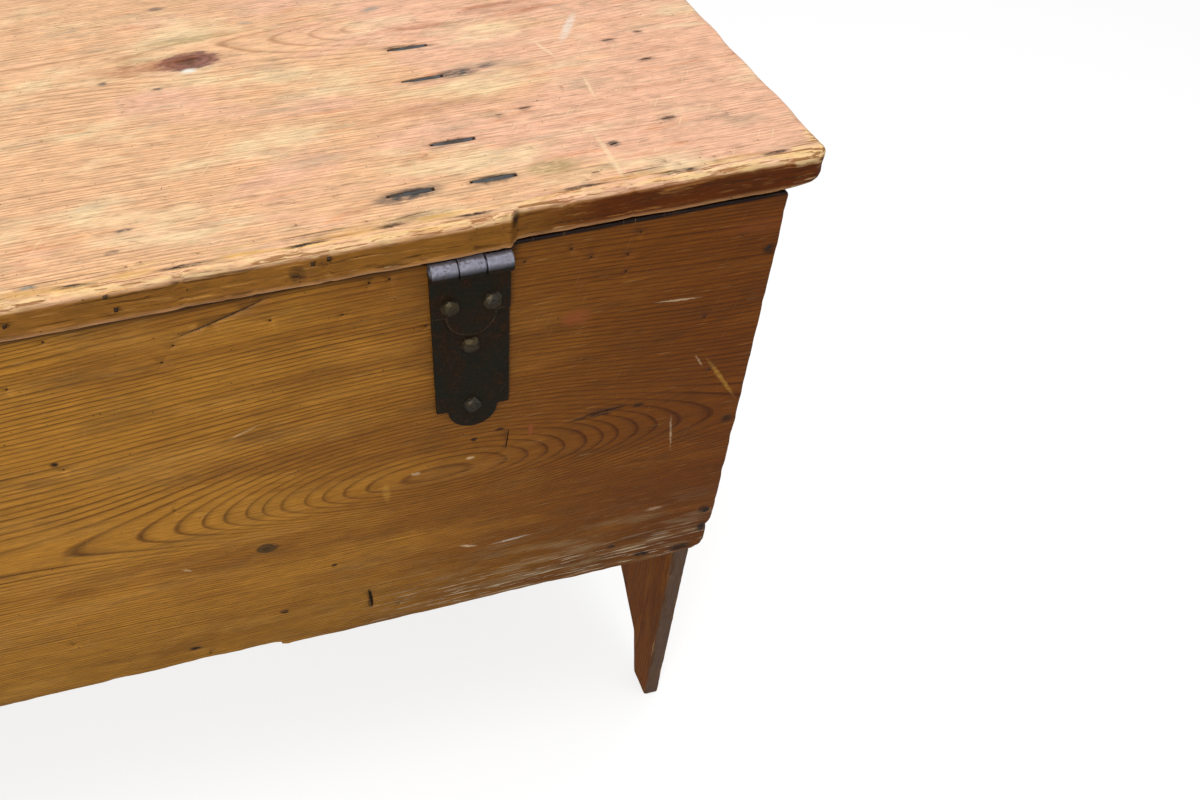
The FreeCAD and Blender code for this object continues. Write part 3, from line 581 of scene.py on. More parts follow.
@dataclass
class Plank:
    """A board made as one closed skin: an outline with worn arrises, two faces and the hollows in them.

    Its outline is drawn on u, along the grain, and v, across it. w runs from the outer face, 0, to the
    inner face.
    """

    name: str
    corners: Sequence[tuple[float, float, float]]
    thickness: float
    u_axis: tuple[float, float, float]
    v_axis: tuple[float, float, float]
    w_axis: tuple[float, float, float]
    origin: tuple[float, float, float]
    arris: Callable[[np.ndarray], np.ndarray] = field(default=flat(2.0))
    inner_arris: Callable[[np.ndarray], np.ndarray] = field(default=flat(1.0))
    nibble: Callable[[np.ndarray], np.ndarray] = field(default=flat(0.0))
    wear: Callable[[np.ndarray], np.ndarray] = field(default=flat(0.5))
    hollows: Sequence[Hollow] = ()
    edge_holes: Sequence[tuple[float, float, float]] = ()
    pitch: float = 4.0
    grid: float = 9.0
    swell: float = 0.35
    side_rows: int = 4
    inner_edge: float = 5.0
    seed: float = 1.0

    ROUND_STEPS = 4
    CLOSE = 0.45

    def _outline(self) -> tuple[np.ndarray, np.ndarray]:
        """The outline as close points, and the largest arris each can carry."""
        points: list[Point] = []
        convex: list[tuple[float, float, float]] = []
        count = len(self.corners)
        for number in range(count):
            before = Vector(self.corners[number - 1][:2])
            here = Vector(self.corners[number][:2])
            after = Vector(self.corners[(number + 1) % count][:2])
            radius = self.corners[number][2]
            come, leave = (here - before).normalized(), (after - here).normalized()
            turn = math.atan2(come.x * leave.y - come.y * leave.x, come.dot(leave))
            cut = radius * math.tan(abs(turn) / 2)
            start = here - come * cut
            inward = Vector((-come.y, come.x)) * math.copysign(1, turn)
            centre = start + inward * radius
            steps = max(2, math.ceil(radius * abs(turn) / (self.pitch * 0.6)))
            if points:
                last = Vector(points[-1])
                pieces = max(1, round((start - last).length / self.pitch))
                points += [tuple(last.lerp(start, k / pieces)) for k in range(1, pieces)]
            for k in range(steps + 1):
                spoke = start - centre
                angle = turn * k / steps
                points.append((centre.x + spoke.x * math.cos(angle) - spoke.y * math.sin(angle),
                               centre.y + spoke.x * math.sin(angle) + spoke.y * math.cos(angle)))
            if turn > 0:
                convex.append((here.x, here.y, radius))
        last, first = Vector(points[-1]), Vector(points[0])
        pieces = max(1, round((first - last).length / self.pitch))
        points += [tuple(last.lerp(first, k / pieces)) for k in range(1, pieces)]
        outline = np.array(points)
        limit = np.full(len(outline), 1e9)
        for x, y, radius in convex:
            away = np.hypot(outline[:, 0] - x, outline[:, 1] - y)
            limit = np.minimum(limit, radius * 0.95 + np.maximum(away - radius, 0) * 0.6)
        return outline, limit

    @staticmethod
    def _inward(loop: np.ndarray) -> np.ndarray:
        """The inward direction at each point of an anticlockwise loop."""
        along = np.roll(loop, -1, 0) - np.roll(loop, 1, 0)
        along /= np.maximum(np.linalg.norm(along, axis=1), 1e-9)[:, None]
        return np.stack([-along[:, 1], along[:, 0]], 1)

    @staticmethod
    def _inside(places: np.ndarray, loop: np.ndarray) -> np.ndarray:
        """Whether each place lies inside a loop."""
        found = np.zeros(len(places), bool)
        for (ax, ay), (bx, by) in zip(loop, np.roll(loop, -1, 0)):
            if ay == by:
                continue
            crosses = ((places[:, 1] > ay) != (places[:, 1] > by))
            found ^= crosses & (places[:, 0] < (bx - ax) * (places[:, 1] - ay) / (by - ay) + ax)
        return found

    def _fill(self, rim: np.ndarray, hollows: list[np.ndarray]) -> tuple[np.ndarray, list, list[list]]:
        """Fills a face inside its rim, leaving the hollows open.

        Args:
            rim: The loop round the face.
            hollows: The loops of its hollows.

        Returns:
            The added inner places, the face's triangles and each hollow's own triangles, all numbered
            from the rim's first point through the hollows' points to the inner places.
        """
        low, high = rim.min(0), rim.max(0)
        step = np.array((self.grid, self.grid * 0.8))
        count = np.ceil((high - low) / step).astype(int)
        lattice = np.array([(low[0] + (i + 0.5 * (j % 2)) * step[0], low[1] + j * step[1])
                            for j in range(1, count[1]) for i in range(count[0] + 1)])
        loops = [rim] + hollows
        fixed = np.concatenate(loops)
        tree = kdtree.KDTree(len(fixed))
        for number, (x, y) in enumerate(fixed):
            tree.insert((x, y, 0), number)
        tree.balance()
        keep = self._inside(lattice, rim)
        clear = np.array([tree.find((x, y, 0))[2] > self.pitch * self.CLOSE for x, y in lattice])
        for loop in hollows:
            low, high = loop.min(0), loop.max(0)
            near = np.all((lattice > low) & (lattice < high), axis=1)
            if near.any():
                keep[near] &= ~self._inside(lattice[near], loop)
        inner = lattice[keep & clear]
        everything = np.concatenate([fixed, inner])
        faces, start = [], 0
        for loop in loops:
            faces.append(list(range(start, start + len(loop))))
            start += len(loop)
        made = geometry.delaunay_2d_cdt([Vector(p) for p in everything], [], faces, 1, 1e-6, True)
        if not all(made[3]):
            raise ValueError("%s: its outline or hollows cross near %s" % (
                self.name, [tuple(round(c) for c in made[0][k]) for k, ids in enumerate(made[3]) if not ids][:6]))
        source = [ids[0] for ids in made[3]]
        skin: list = []
        floors: list[list] = [[] for _ in hollows]
        triangles = [[source[k] for k in triangle] for triangle in made[2]]
        within = self._inside(everything[np.array(triangles)].mean(1), rim)
        for corners, owners, is_within in zip(triangles, made[5], within):
            inside = [owner for owner in owners if owner > 0]
            if inside:
                floors[inside[0] - 1].append(corners)
            elif is_within:
                skin.append(corners)
        return inner, skin, floors

    def _apart(self, hollows: Sequence[Hollow], rim: np.ndarray) -> list[Hollow]:
        """The hollows that lie inside the rim and don't touch one kept before them."""
        kept: list[Hollow] = []
        taken = rim
        for hollow in hollows:
            loop = np.array(hollow.loop)
            near = np.linalg.norm(taken[:, None] - loop[None], axis=2).min() < 0.45
            inside_other = any(self._inside(loop[:1], np.array(other.loop))[0] for other in kept)
            around_other = any(self._inside(np.array(other.loop[:1]), loop)[0] for other in kept)
            if near or inside_other or around_other or not self._inside(loop, rim).all():
                continue
            kept.append(hollow)
            taken = np.concatenate([taken, loop])
        return kept

    def _bumps(self, places: np.ndarray) -> np.ndarray:
        """How far the face lies below flat at each place."""
        broad = rough_noise(places, 170, 60, self.seed)
        small = rough_noise(places, 34, 15, self.seed + 7)
        return self.swell * (0.75 + 0.6 * broad + 0.25 * small).clip(0, 2)

    def build(self, material: bpy.types.Material) -> bpy.types.Object:
        """Makes the board.

        Args:
            material: Its wood.

        Returns:
            The object, at the origin with its place in its mesh.
        """
        outline, limit = self._outline()
        inward = self._inward(outline)
        lost = np.minimum(self.nibble(outline), limit * 0.5)
        outer = np.minimum(self.arris(outline), limit - lost)
        inner = np.minimum(self.inner_arris(outline), limit - lost)
        outline = outline + inward * lost[:, None]
        count = len(outline)
        rows: list[np.ndarray] = []
        edges: list[np.ndarray] = []
        angles = [math.pi / 2 * k / self.ROUND_STEPS for k in range(self.ROUND_STEPS + 1)]
        sink = self._bumps(outline)
        for angle in reversed(angles):
            shift = outer * (1 - math.cos(angle))
            depth = outer * (1 - math.sin(angle)) + sink * math.sin(angle)
            rows.append(np.column_stack([outline + inward * shift[:, None], depth]))
            edges.append(np.abs(outer * (angle / (math.pi / 2) - 0.5)))
        for k in range(1, self.side_rows):
            share = k / self.side_rows
            depth = outer + (self.thickness - inner - outer) * share
            dent = self.swell * (0.6 + 0.9 * np.array([
                noise.noise(Vector((u / 26, v / 26, d / 5 + self.seed))) for (u, v), d in zip(outline, depth)]))
            rows.append(np.column_stack([outline + inward * (dent.clip(0, 2) * math.sin(math.pi * share))[:, None],
                                         depth]))
            edges.append(np.minimum(depth - outer * 0.5, self.thickness - depth) + 0.5)
        for angle in angles:
            shift = inner * (1 - math.cos(angle))
            depth = self.thickness - inner * (1 - math.sin(angle))
            rows.append(np.column_stack([outline + inward * shift[:, None], depth]))
            edges.append(np.full(count, self.inner_edge))
        places = [np.concatenate(rows)]
        distance = [np.concatenate(edges)]
        hollowness = [np.zeros(len(places[0]))]
        faces: list[Sequence[int]] = []
        for row in range(len(rows) - 1):
            base, below = row * count, (row + 1) * count
            for k in range(count):
                after = (k + 1) % count
                faces.append((base + k, base + after, below + after, below + k))
        total = len(places[0])
        for is_inner, row in ((False, 0), (True, len(rows) - 1)):
            total = self._face(is_inner, rows[row][:, :2], row * count, total, places, distance, hollowness, faces)
        return self._mesh(np.concatenate(places), np.concatenate(distance), np.concatenate(hollowness), faces,
                          material)

    def _face(self, is_inner: bool, rim: np.ndarray, first: int, total: int, places: list, distance: list,
              hollowness: list, faces: list) -> int:
        """Adds one face with its hollows to the growing lists.

        Args:
            is_inner: Whether it is the inner face.
            rim: Its outline.
            first: The number of the rim's first point.
            total: How many points there are so far.
            places: Lists of places to add to.
            distance: Lists of distances from the arris to add to.
            hollowness: Lists of how deep in a hollow each point is.
            faces: The faces to add to.

        Returns:
            How many points there are then.
        """
        chosen = self._apart([h for h in self.hollows if h.inner == is_inner], rim)
        loops = [np.array(h.loop) for h in chosen]
        added, skin, floors = self._fill(rim, loops)
        level = (lambda at: self.thickness - self._bumps(at) * 0.5) if is_inner else self._bumps
        into = -1.0 if is_inner else 1.0
        tree = kdtree.KDTree(len(rim))
        for number, (x, y) in enumerate(rim):
            tree.insert((x, y, 0), number)
        tree.balance()
        new = np.concatenate(loops + [added]) if loops else added
        number_of = list(range(first, first + len(rim))) + list(range(total, total + len(new)))
        places.append(np.column_stack([new, level(new)]))
        away = np.array([tree.find((x, y, 0))[2] for x, y in new])
        distance.append(away + 2.0)
        hollowness.append(np.zeros(len(new)))
        total += len(new)
        faces += [[number_of[k] for k in triangle] for triangle in skin]
        start = len(rim)
        for hollow, loop, floor in zip(chosen, loops, floors):
            centre = loop.mean(0)
            bottom = centre + (loop - centre) * hollow.floor
            depth = level(loop) + into * hollow.depth
            places.append(np.column_stack([bottom, depth]))
            distance.append(np.full(len(loop), 30.0))
            hollowness.append(np.ones(len(loop)))
            size = len(loop)
            for k in range(size):
                after = (k + 1) % size
                faces.append((number_of[start + k], number_of[start + after], total + after, total + k))
            faces += [[total + k - start for k in triangle] for triangle in floor]
            total += size
            start += size
        return total

    def _mesh(self, places: np.ndarray, distance: np.ndarray, hollowness: np.ndarray, faces: list,
              material: bpy.types.Material) -> bpy.types.Object:
        """Turns the lists into an object."""
        turn = np.array([self.u_axis, self.v_axis, self.w_axis], float)
        world = (places @ turn + np.array(self.origin)) * MM
        mesh = bpy.data.meshes.new(self.name)
        mesh.from_pydata(world.tolist(), [], [list(f) for f in faces])
        for label, values in (("edge", distance), ("hollow", hollowness), ("wear", self.wear(places[:, :2]))):
            layer = mesh.attributes.new(label, "FLOAT", "POINT")
            layer.data.foreach_set("value", np.asarray(values, np.float32))
        build = bmesh.new()
        build.from_mesh(mesh)
        self._bore(build)
        bmesh.ops.recalc_face_normals(build, faces=build.faces)
        for face in build.faces:
            face.smooth = True
        build.to_mesh(mesh)
        build.free()
        mesh.materials.append(material)
        thing = bpy.data.objects.new(self.name, mesh)
        bpy.context.scene.collection.objects.link(thing)
        return thing

    def _bore(self, build: bmesh.types.BMesh) -> None:
        """Bores the worm holes that are in the board's edges."""
        layer = build.verts.layers.float["hollow"]
        for spot in self.edge_holes:
            target = Vector(spot) * MM
            face = min((f for f in build.faces if len(f.verts) == 4),
                       key=lambda f: (f.calc_center_median() - target).length_squared)
            bmesh.ops.inset_individual(build, faces=[face], thickness=0.7 * MM)
            made = bmesh.ops.extrude_discrete_faces(build, faces=[face])["faces"][0]
            for vert in made.verts:
                vert.co -= made.normal * 3 * MM
                vert[layer] = 1.0


# Stage

class Studio:
    """The floor, soft lights and the camera at the photograph's place."""

    camera_place = (-210.124, 686.587, 1015.021)
    right = (-0.9692051, 0.2434321, -0.0371798)
    down = (0.2010277, 0.6949280, -0.6904078)
    ahead = (-0.1422301, -0.6766209, -0.7224643)
    lens = 30.9265
    shift = (0.12871, 0.015497)

    def build(self) -> None:
        """Sets the colours, world, lamps, floor and camera."""
        scene = bpy.context.scene
        scene.view_settings.view_transform = "Standard"
        self._world(scene)
        self._lamps()
        self._floor()
        self._camera(scene)

    def _world(self, scene: bpy.types.Scene) -> None:
        """A white background, and a soft sky that lights the object."""
        world = bpy.data.worlds.new("studio")
        world.use_nodes = True
        tree = world.node_tree
        paths = add(tree, "ShaderNodeLightPath").node.outputs
        seen = add(tree, MATH, (paths["Is Camera Ray"], paths["Is Glossy Ray"]), operation="MAXIMUM")
        seen = add(tree, MATH, (seen, paths["Is Transmission Ray"]), operation="MAXIMUM")
        level = add(tree, RANGE, (seen, 0.0, 1.0, 0.5, 1.0))
        background = tree.nodes["Background"]
        background.inputs["Color"].default_value = (1, 1, 1, 1)
        tree.links.new(level, background.inputs["Strength"])
        scene.world = world

    def _lamps(self) -> None:
        """Two large soft lamps: one overhead and one from behind the camera."""
        for name, place, aim, size, power in (
                ("overhead", (-0.3, 0.1, 2.6), (0, 0, 0.5), 1.8, 28.0),
                ("key", (0.9, 2.3, 2.1), (-0.1, 0, 0.4), 1.3, 38.0)):
            data = bpy.data.lights.new(name, "AREA")
            data.size = size
            data.energy = power
            lamp = bpy.data.objects.new(name, data)
            lamp.location = place
            lamp.rotation_euler = (Vector(aim) - Vector(place)).to_track_quat("-Z", "Y").to_euler()
            bpy.context.scene.collection.objects.link(lamp)

    def _floor(self) -> None:
        """A pale floor that shows white where the chest doesn't shade it."""
        material = bpy.data.materials.new("pale_studio_floor")
        material.use_nodes = True
        tree = material.node_tree
        shader = tree.nodes["Principled BSDF"]
        shader.inputs["Base Color"].default_value = (0.42, 0.42, 0.42, 1)
        shader.inputs["Roughness"].default_value = 0.9
        shader.inputs["Specular IOR Level"].default_value = 0.0
        seen = add(tree, "ShaderNodeLightPath", (), "Is Camera Ray")
        shader.inputs["Emission Color"].default_value = (1, 1, 1, 1)
        tree.links.new(add(tree, MATH, (seen, 0.68), operation="MULTIPLY"), shader.inputs["Emission Strength"])
        bpy.ops.mesh.primitive_plane_add(size=12, location=(0, 0, 0))
        floor = bpy.context.object
        floor.name = "floor"
        floor.data.materials.append(material)

    def _camera(self, scene: bpy.types.Scene) -> None:
        """The camera, as fitted to the photograph's edges."""
        data = bpy.data.cameras.new("camera")
        data.sensor_width = 36.0
        data.lens = self.lens
        data.shift_x, data.shift_y = self.shift
        camera = bpy.data.objects.new("camera", data)
        turn = Matrix((self.right, [-c for c in self.down], [-c for c in self.ahead])).transposed().to_4x4()
        camera.matrix_world = Matrix.Translation(Vector(self.camera_place) * MM) @ turn
        scene.collection.objects.link(camera)
        scene.camera = camera




# Iron pieces

class NailPart(Enum):
    """Which end of a nail shows."""

    HEAD = "flat head"
    ROSE = "rose head"
    POINT = "point"


@dataclass(frozen=True)
class Spot:
    """Where a nail shows, which way it faces and how far it is turned."""

    place: tuple[float, float, float]
    facing: tuple[float, float, float]
    turn: float = 0.0


@dataclass
class Nails:
    """A set of nails of one kind, set on their spots by geometry nodes.

    A head is a low pyramid with hammered facets. A point is a flat bar, beaten into the wood.
    """

    name: str
    part: NailPart
    spots: Sequence[Spot]
    width: float
    height: float
    length: float = 0.0
    facets: int = 6
    flat_top: float = 0.3
    sink: float = 0.3
    spin: float = 180.0
    hammer: float = 0.5
    seed: int = 5

    def _tree(self) -> tuple[bpy.types.NodeTree, dict[str, str]]:
        """Builds the tree.

        Returns:
            The tree, and the identifier of each named input.
        """
        tree = bpy.data.node_groups.new(self.name, "GeometryNodeTree")
        tree.interface.new_socket("Geometry", in_out="INPUT", socket_type="NodeSocketGeometry")
        tree.interface.new_socket("Geometry", in_out="OUTPUT", socket_type="NodeSocketGeometry")
        named = {}
        for label, kind in (("Width", "Float"), ("Height", "Float"), ("Length", "Float"), ("Facets", "Int"),
                            ("Flat top", "Float"), ("Spin", "Float"), ("Hammer", "Float"), ("Seed", "Int"),
                            ("Iron", "Material")):
            socket = tree.interface.new_socket(label, in_out="INPUT", socket_type="NodeSocket" + kind)
            named[label] = socket.identifier
        given = tree.nodes.new("NodeGroupInput").outputs
        half = add(tree, MATH, (given["Width"], 0.5), operation="MULTIPLY")
        if self.part is NailPart.HEAD:
            top = add(tree, MATH, (half, given["Flat top"]), operation="MULTIPLY")
            piece = add(tree, "GeometryNodeMeshCone", {"Vertices": given["Facets"], "Radius Top": top,
                                                       "Radius Bottom": half, "Depth": given["Height"]})
        elif self.part is NailPart.ROSE:
            ball = add(tree, "GeometryNodeMeshIcoSphere", {"Radius": half, "Subdivisions": 2})
            squat = add(tree, MATH, (given["Height"], half), operation="DIVIDE")
            squat = add(tree, "ShaderNodeCombineXYZ", (1.0, 1.0, squat))
            piece = add(tree, "GeometryNodeTransform", {"Geometry": ball, "Scale": squat})
        else:
            size = add(tree, "ShaderNodeCombineXYZ", (given["Length"], given["Width"], given["Height"]))
            piece = add(tree, "GeometryNodeMeshCube", {"Size": size, "Vertices X": 8, "Vertices Y": 4})
        facing = add(tree, "GeometryNodeInputNamedAttribute", ("facing",), data_type="FLOAT_VECTOR")
        aligned = add(tree, "FunctionNodeAlignRotationToVector", {"Vector": facing}, axis="Z")
        turn = add(tree, "GeometryNodeInputNamedAttribute", ("turn",), data_type="FLOAT")
        low = add(tree, MATH, (given["Spin"], -1.0), operation="MULTIPLY")
        chance = add(tree, "FunctionNodeRandomValue", {2: low, 3: given["Spin"], 8: given["Seed"]}, 1,
                     data_type="FLOAT")
        turn = add(tree, MATH, (turn, chance), operation="ADD")
        spun = add(tree, "FunctionNodeAxisAngleToRotation", {"Axis": (0, 0, 1), "Angle": turn})
        rotation = add(tree, "FunctionNodeRotateRotation", {"Rotation": aligned, "Rotate By": spun},
                       rotation_space="LOCAL")
        group = add(tree, "GeometryNodeInstanceOnPoints", {"Points": given["Geometry"], "Instance": piece,
                                                           "Rotation": rotation})
        made = add(tree, "GeometryNodeRealizeInstances", (group,))
        uneven = add(tree, NOISE, {"Scale": 330.0, "Detail": 0.0}, "Color")
        uneven = add(tree, VECTOR, (uneven, (0.5, 0.5, 0.5)), operation="SUBTRACT")
        reach = add(tree, MATH, (given["Hammer"], 3.0), operation="MULTIPLY")
        uneven = add(tree, VECTOR, {0: uneven, 3: reach}, operation="SCALE")
        made = add(tree, "GeometryNodeSetPosition", {"Geometry": made, "Offset": uneven})
        made = add(tree, "GeometryNodeSetMaterial", {"Geometry": made, "Material": given["Iron"]})
        tree.links.new(made, tree.nodes.new("NodeGroupOutput").inputs[0])
        return tree, named

    def build(self, iron: bpy.types.Material) -> bpy.types.Object:
        """Makes the nails as one plain mesh.

        Args:
            iron: Their material.

        Returns:
            The object.
        """
        lift = self.height / 2 - self.sink if self.part is NailPart.POINT else -self.sink
        points = bpy.data.meshes.new(self.name)
        points.from_pydata([(Vector(s.place) + Vector(s.facing) * lift) * MM for s in self.spots], [], [])
        facing = points.attributes.new("facing", "FLOAT_VECTOR", "POINT")
        facing.data.foreach_set("vector", [c for s in self.spots for c in s.facing])
        turn = points.attributes.new("turn", "FLOAT", "POINT")
        turn.data.foreach_set("value", [math.radians(s.turn) for s in self.spots])
        thing = bpy.data.objects.new(self.name, points)
        bpy.context.scene.collection.objects.link(thing)
        tree, named = self._tree()
        modifier = thing.modifiers.new("nails", "NODES")
        modifier.node_group = tree
        for label, value in (("Width", self.width * MM), ("Height", self.height * MM), ("Length", self.length * MM),
                             ("Facets", self.facets), ("Flat top", self.flat_top),
                             ("Spin", math.radians(self.spin)), ("Hammer", self.hammer * MM), ("Seed", self.seed),
                             ("Iron", iron)):
            modifier[named[label]] = value
        bevel = thing.modifiers.new("worn", "BEVEL")
        bevel.width = 0.35 * MM
        bevel.segments = 2
        bevel.limit_method = "ANGLE"
        bevel.angle_limit = math.radians(35)
        mesh = bpy.data.meshes.new_from_object(thing.evaluated_get(bpy.context.evaluated_depsgraph_get()))
        thing.modifiers.clear()
        thing.data = mesh
        return thing


@dataclass
class Strap:
    """A forged strap: the CAD node's shape with soft edges, hammer marks and a flattened knuckle."""

    name: str
    node: str
    voxel: float = 0.8
    dent: float = 0.35
    flat_level: float = 5.9
    lap_level: float = 0.0
    tongue: float = 17.0
    seed: float = 0.0

    FLAT_WAY = (0.0, 0.62, 0.78)

    def build(self, iron: bpy.types.Material) -> bpy.types.Object:
        """Makes the strap.

        Args:
            iron: Its material.

        Returns:
            The object.
        """
        build = bmesh.new()
        build.from_mesh(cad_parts[self.node].data)
        bmesh.ops.remove_doubles(build, verts=build.verts, dist=0.002 * MM)
        mesh = bpy.data.meshes.new(self.name)
        build.to_mesh(mesh)
        build.free()
        mesh.materials.clear()
        thing = bpy.data.objects.new(self.name, mesh)
        bpy.context.scene.collection.objects.link(thing)
        forged = thing.modifiers.new("forged", "REMESH")
        forged.mode = "VOXEL"
        forged.voxel_size = self.voxel * MM
        mesh = bpy.data.meshes.new_from_object(thing.evaluated_get(bpy.context.evaluated_depsgraph_get()))
        thing.modifiers.clear()
        thing.data = mesh
        self._hammer(mesh)
        mesh.materials.clear()
        mesh.materials.append(iron)
        for face in mesh.polygons:
            face.use_smooth = True
        return thing

    def _step_shade_and_highlight(self, place: Vector, middle: float) -> float:
        """How near a place is to the foot of the short layer's edge, where shade is painted, and below 0 on its lip,
        where a highlight is painted.
        """
        across, drop = abs(place.x - middle), self.lap_level - place.z
        if across >= self.tongue:
            out = drop
        elif drop > 0:
            out = math.hypot(across, drop) - self.tongue
        else:
            out = -math.hypot(self.tongue - across, drop)
        return max(0.0, 1 - abs(out - 0.6) / 1.3) - max(0.0, 1 - abs(out + 1.4) / 1.0)

    def _hammer(self, mesh: bpy.types.Mesh) -> None:
        """Dents the strap and flattens the top of its knuckles, without growing it."""
        low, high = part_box(self.node)
        middle = (low.x + high.x) / 2 / MM
        # Where to paint shade at the foot of the lap's step and a highlight on its lip.
        layer = mesh.attributes.new("step_shade_and_lip_highlight", "FLOAT", "POINT")
        layer.data.foreach_set("value", [self._step_shade_and_highlight(v.co / MM, middle) if self.lap_level else 0.0
                                         for v in mesh.vertices])
        way = Vector(self.FLAT_WAY).normalized()
        normals = [v.normal.copy() for v in mesh.vertices]
        for vert, normal in zip(mesh.vertices, normals):
            place = vert.co / MM
            depth = 0.5 + 0.5 * noise.noise(place / 7 + Vector((self.seed, 0, 0)))
            depth += 0.35 * noise.noise(place / 2.2)
            vert.co -= normal * max(depth, 0) * self.dent * MM
            place = vert.co / MM
            arm = Vector((0, place.y - PIN_Y, place.z - PIN_Z))
            level = self.flat_level + 0.35 * noise.noise(place / 4)
            over = arm.dot(way) - level
            if over > 0 and arm.length < 7.2:
                vert.co -= way * over * MM
            for axis in range(3):
                vert.co[axis] = min(max(vert.co[axis], low[axis]), high[axis])


# The chest

def dress(thing: bpy.types.Object, body: str, slot: str, *nodes: str) -> None:
    """Ties a piece to its body and hides the nodes it stands for."""
    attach(thing, body)
    if nodes:
        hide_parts(*nodes)
    LOG.info("%s: %d faces", thing.name, len(thing.data.polygons))


def scattered_holes(seed: int, count: int, low: Point, high: Point, inner: bool = False) -> list[Hollow]:
    """Beetle holes strewn over part of a board.

    Args:
        seed: Picks another pattern.
        count: How many.
        low: Least u and v.
        high: Greatest u and v.
        inner: Whether they are in the inner face.

    Returns:
        The hollows.
    """
    chance = random.Random(seed)
    return [worm_hole(chance.uniform(low[0], high[0]), chance.uniform(low[1], high[1]), chance.uniform(0.7, 1.3),
                      inner=inner) for _ in range(count)]


def ripple(places: np.ndarray, size: float, seed: float) -> np.ndarray:
    """Smooth random values from -1 to 1 round a board's outline."""
    return rough_noise(places, size, size, seed)


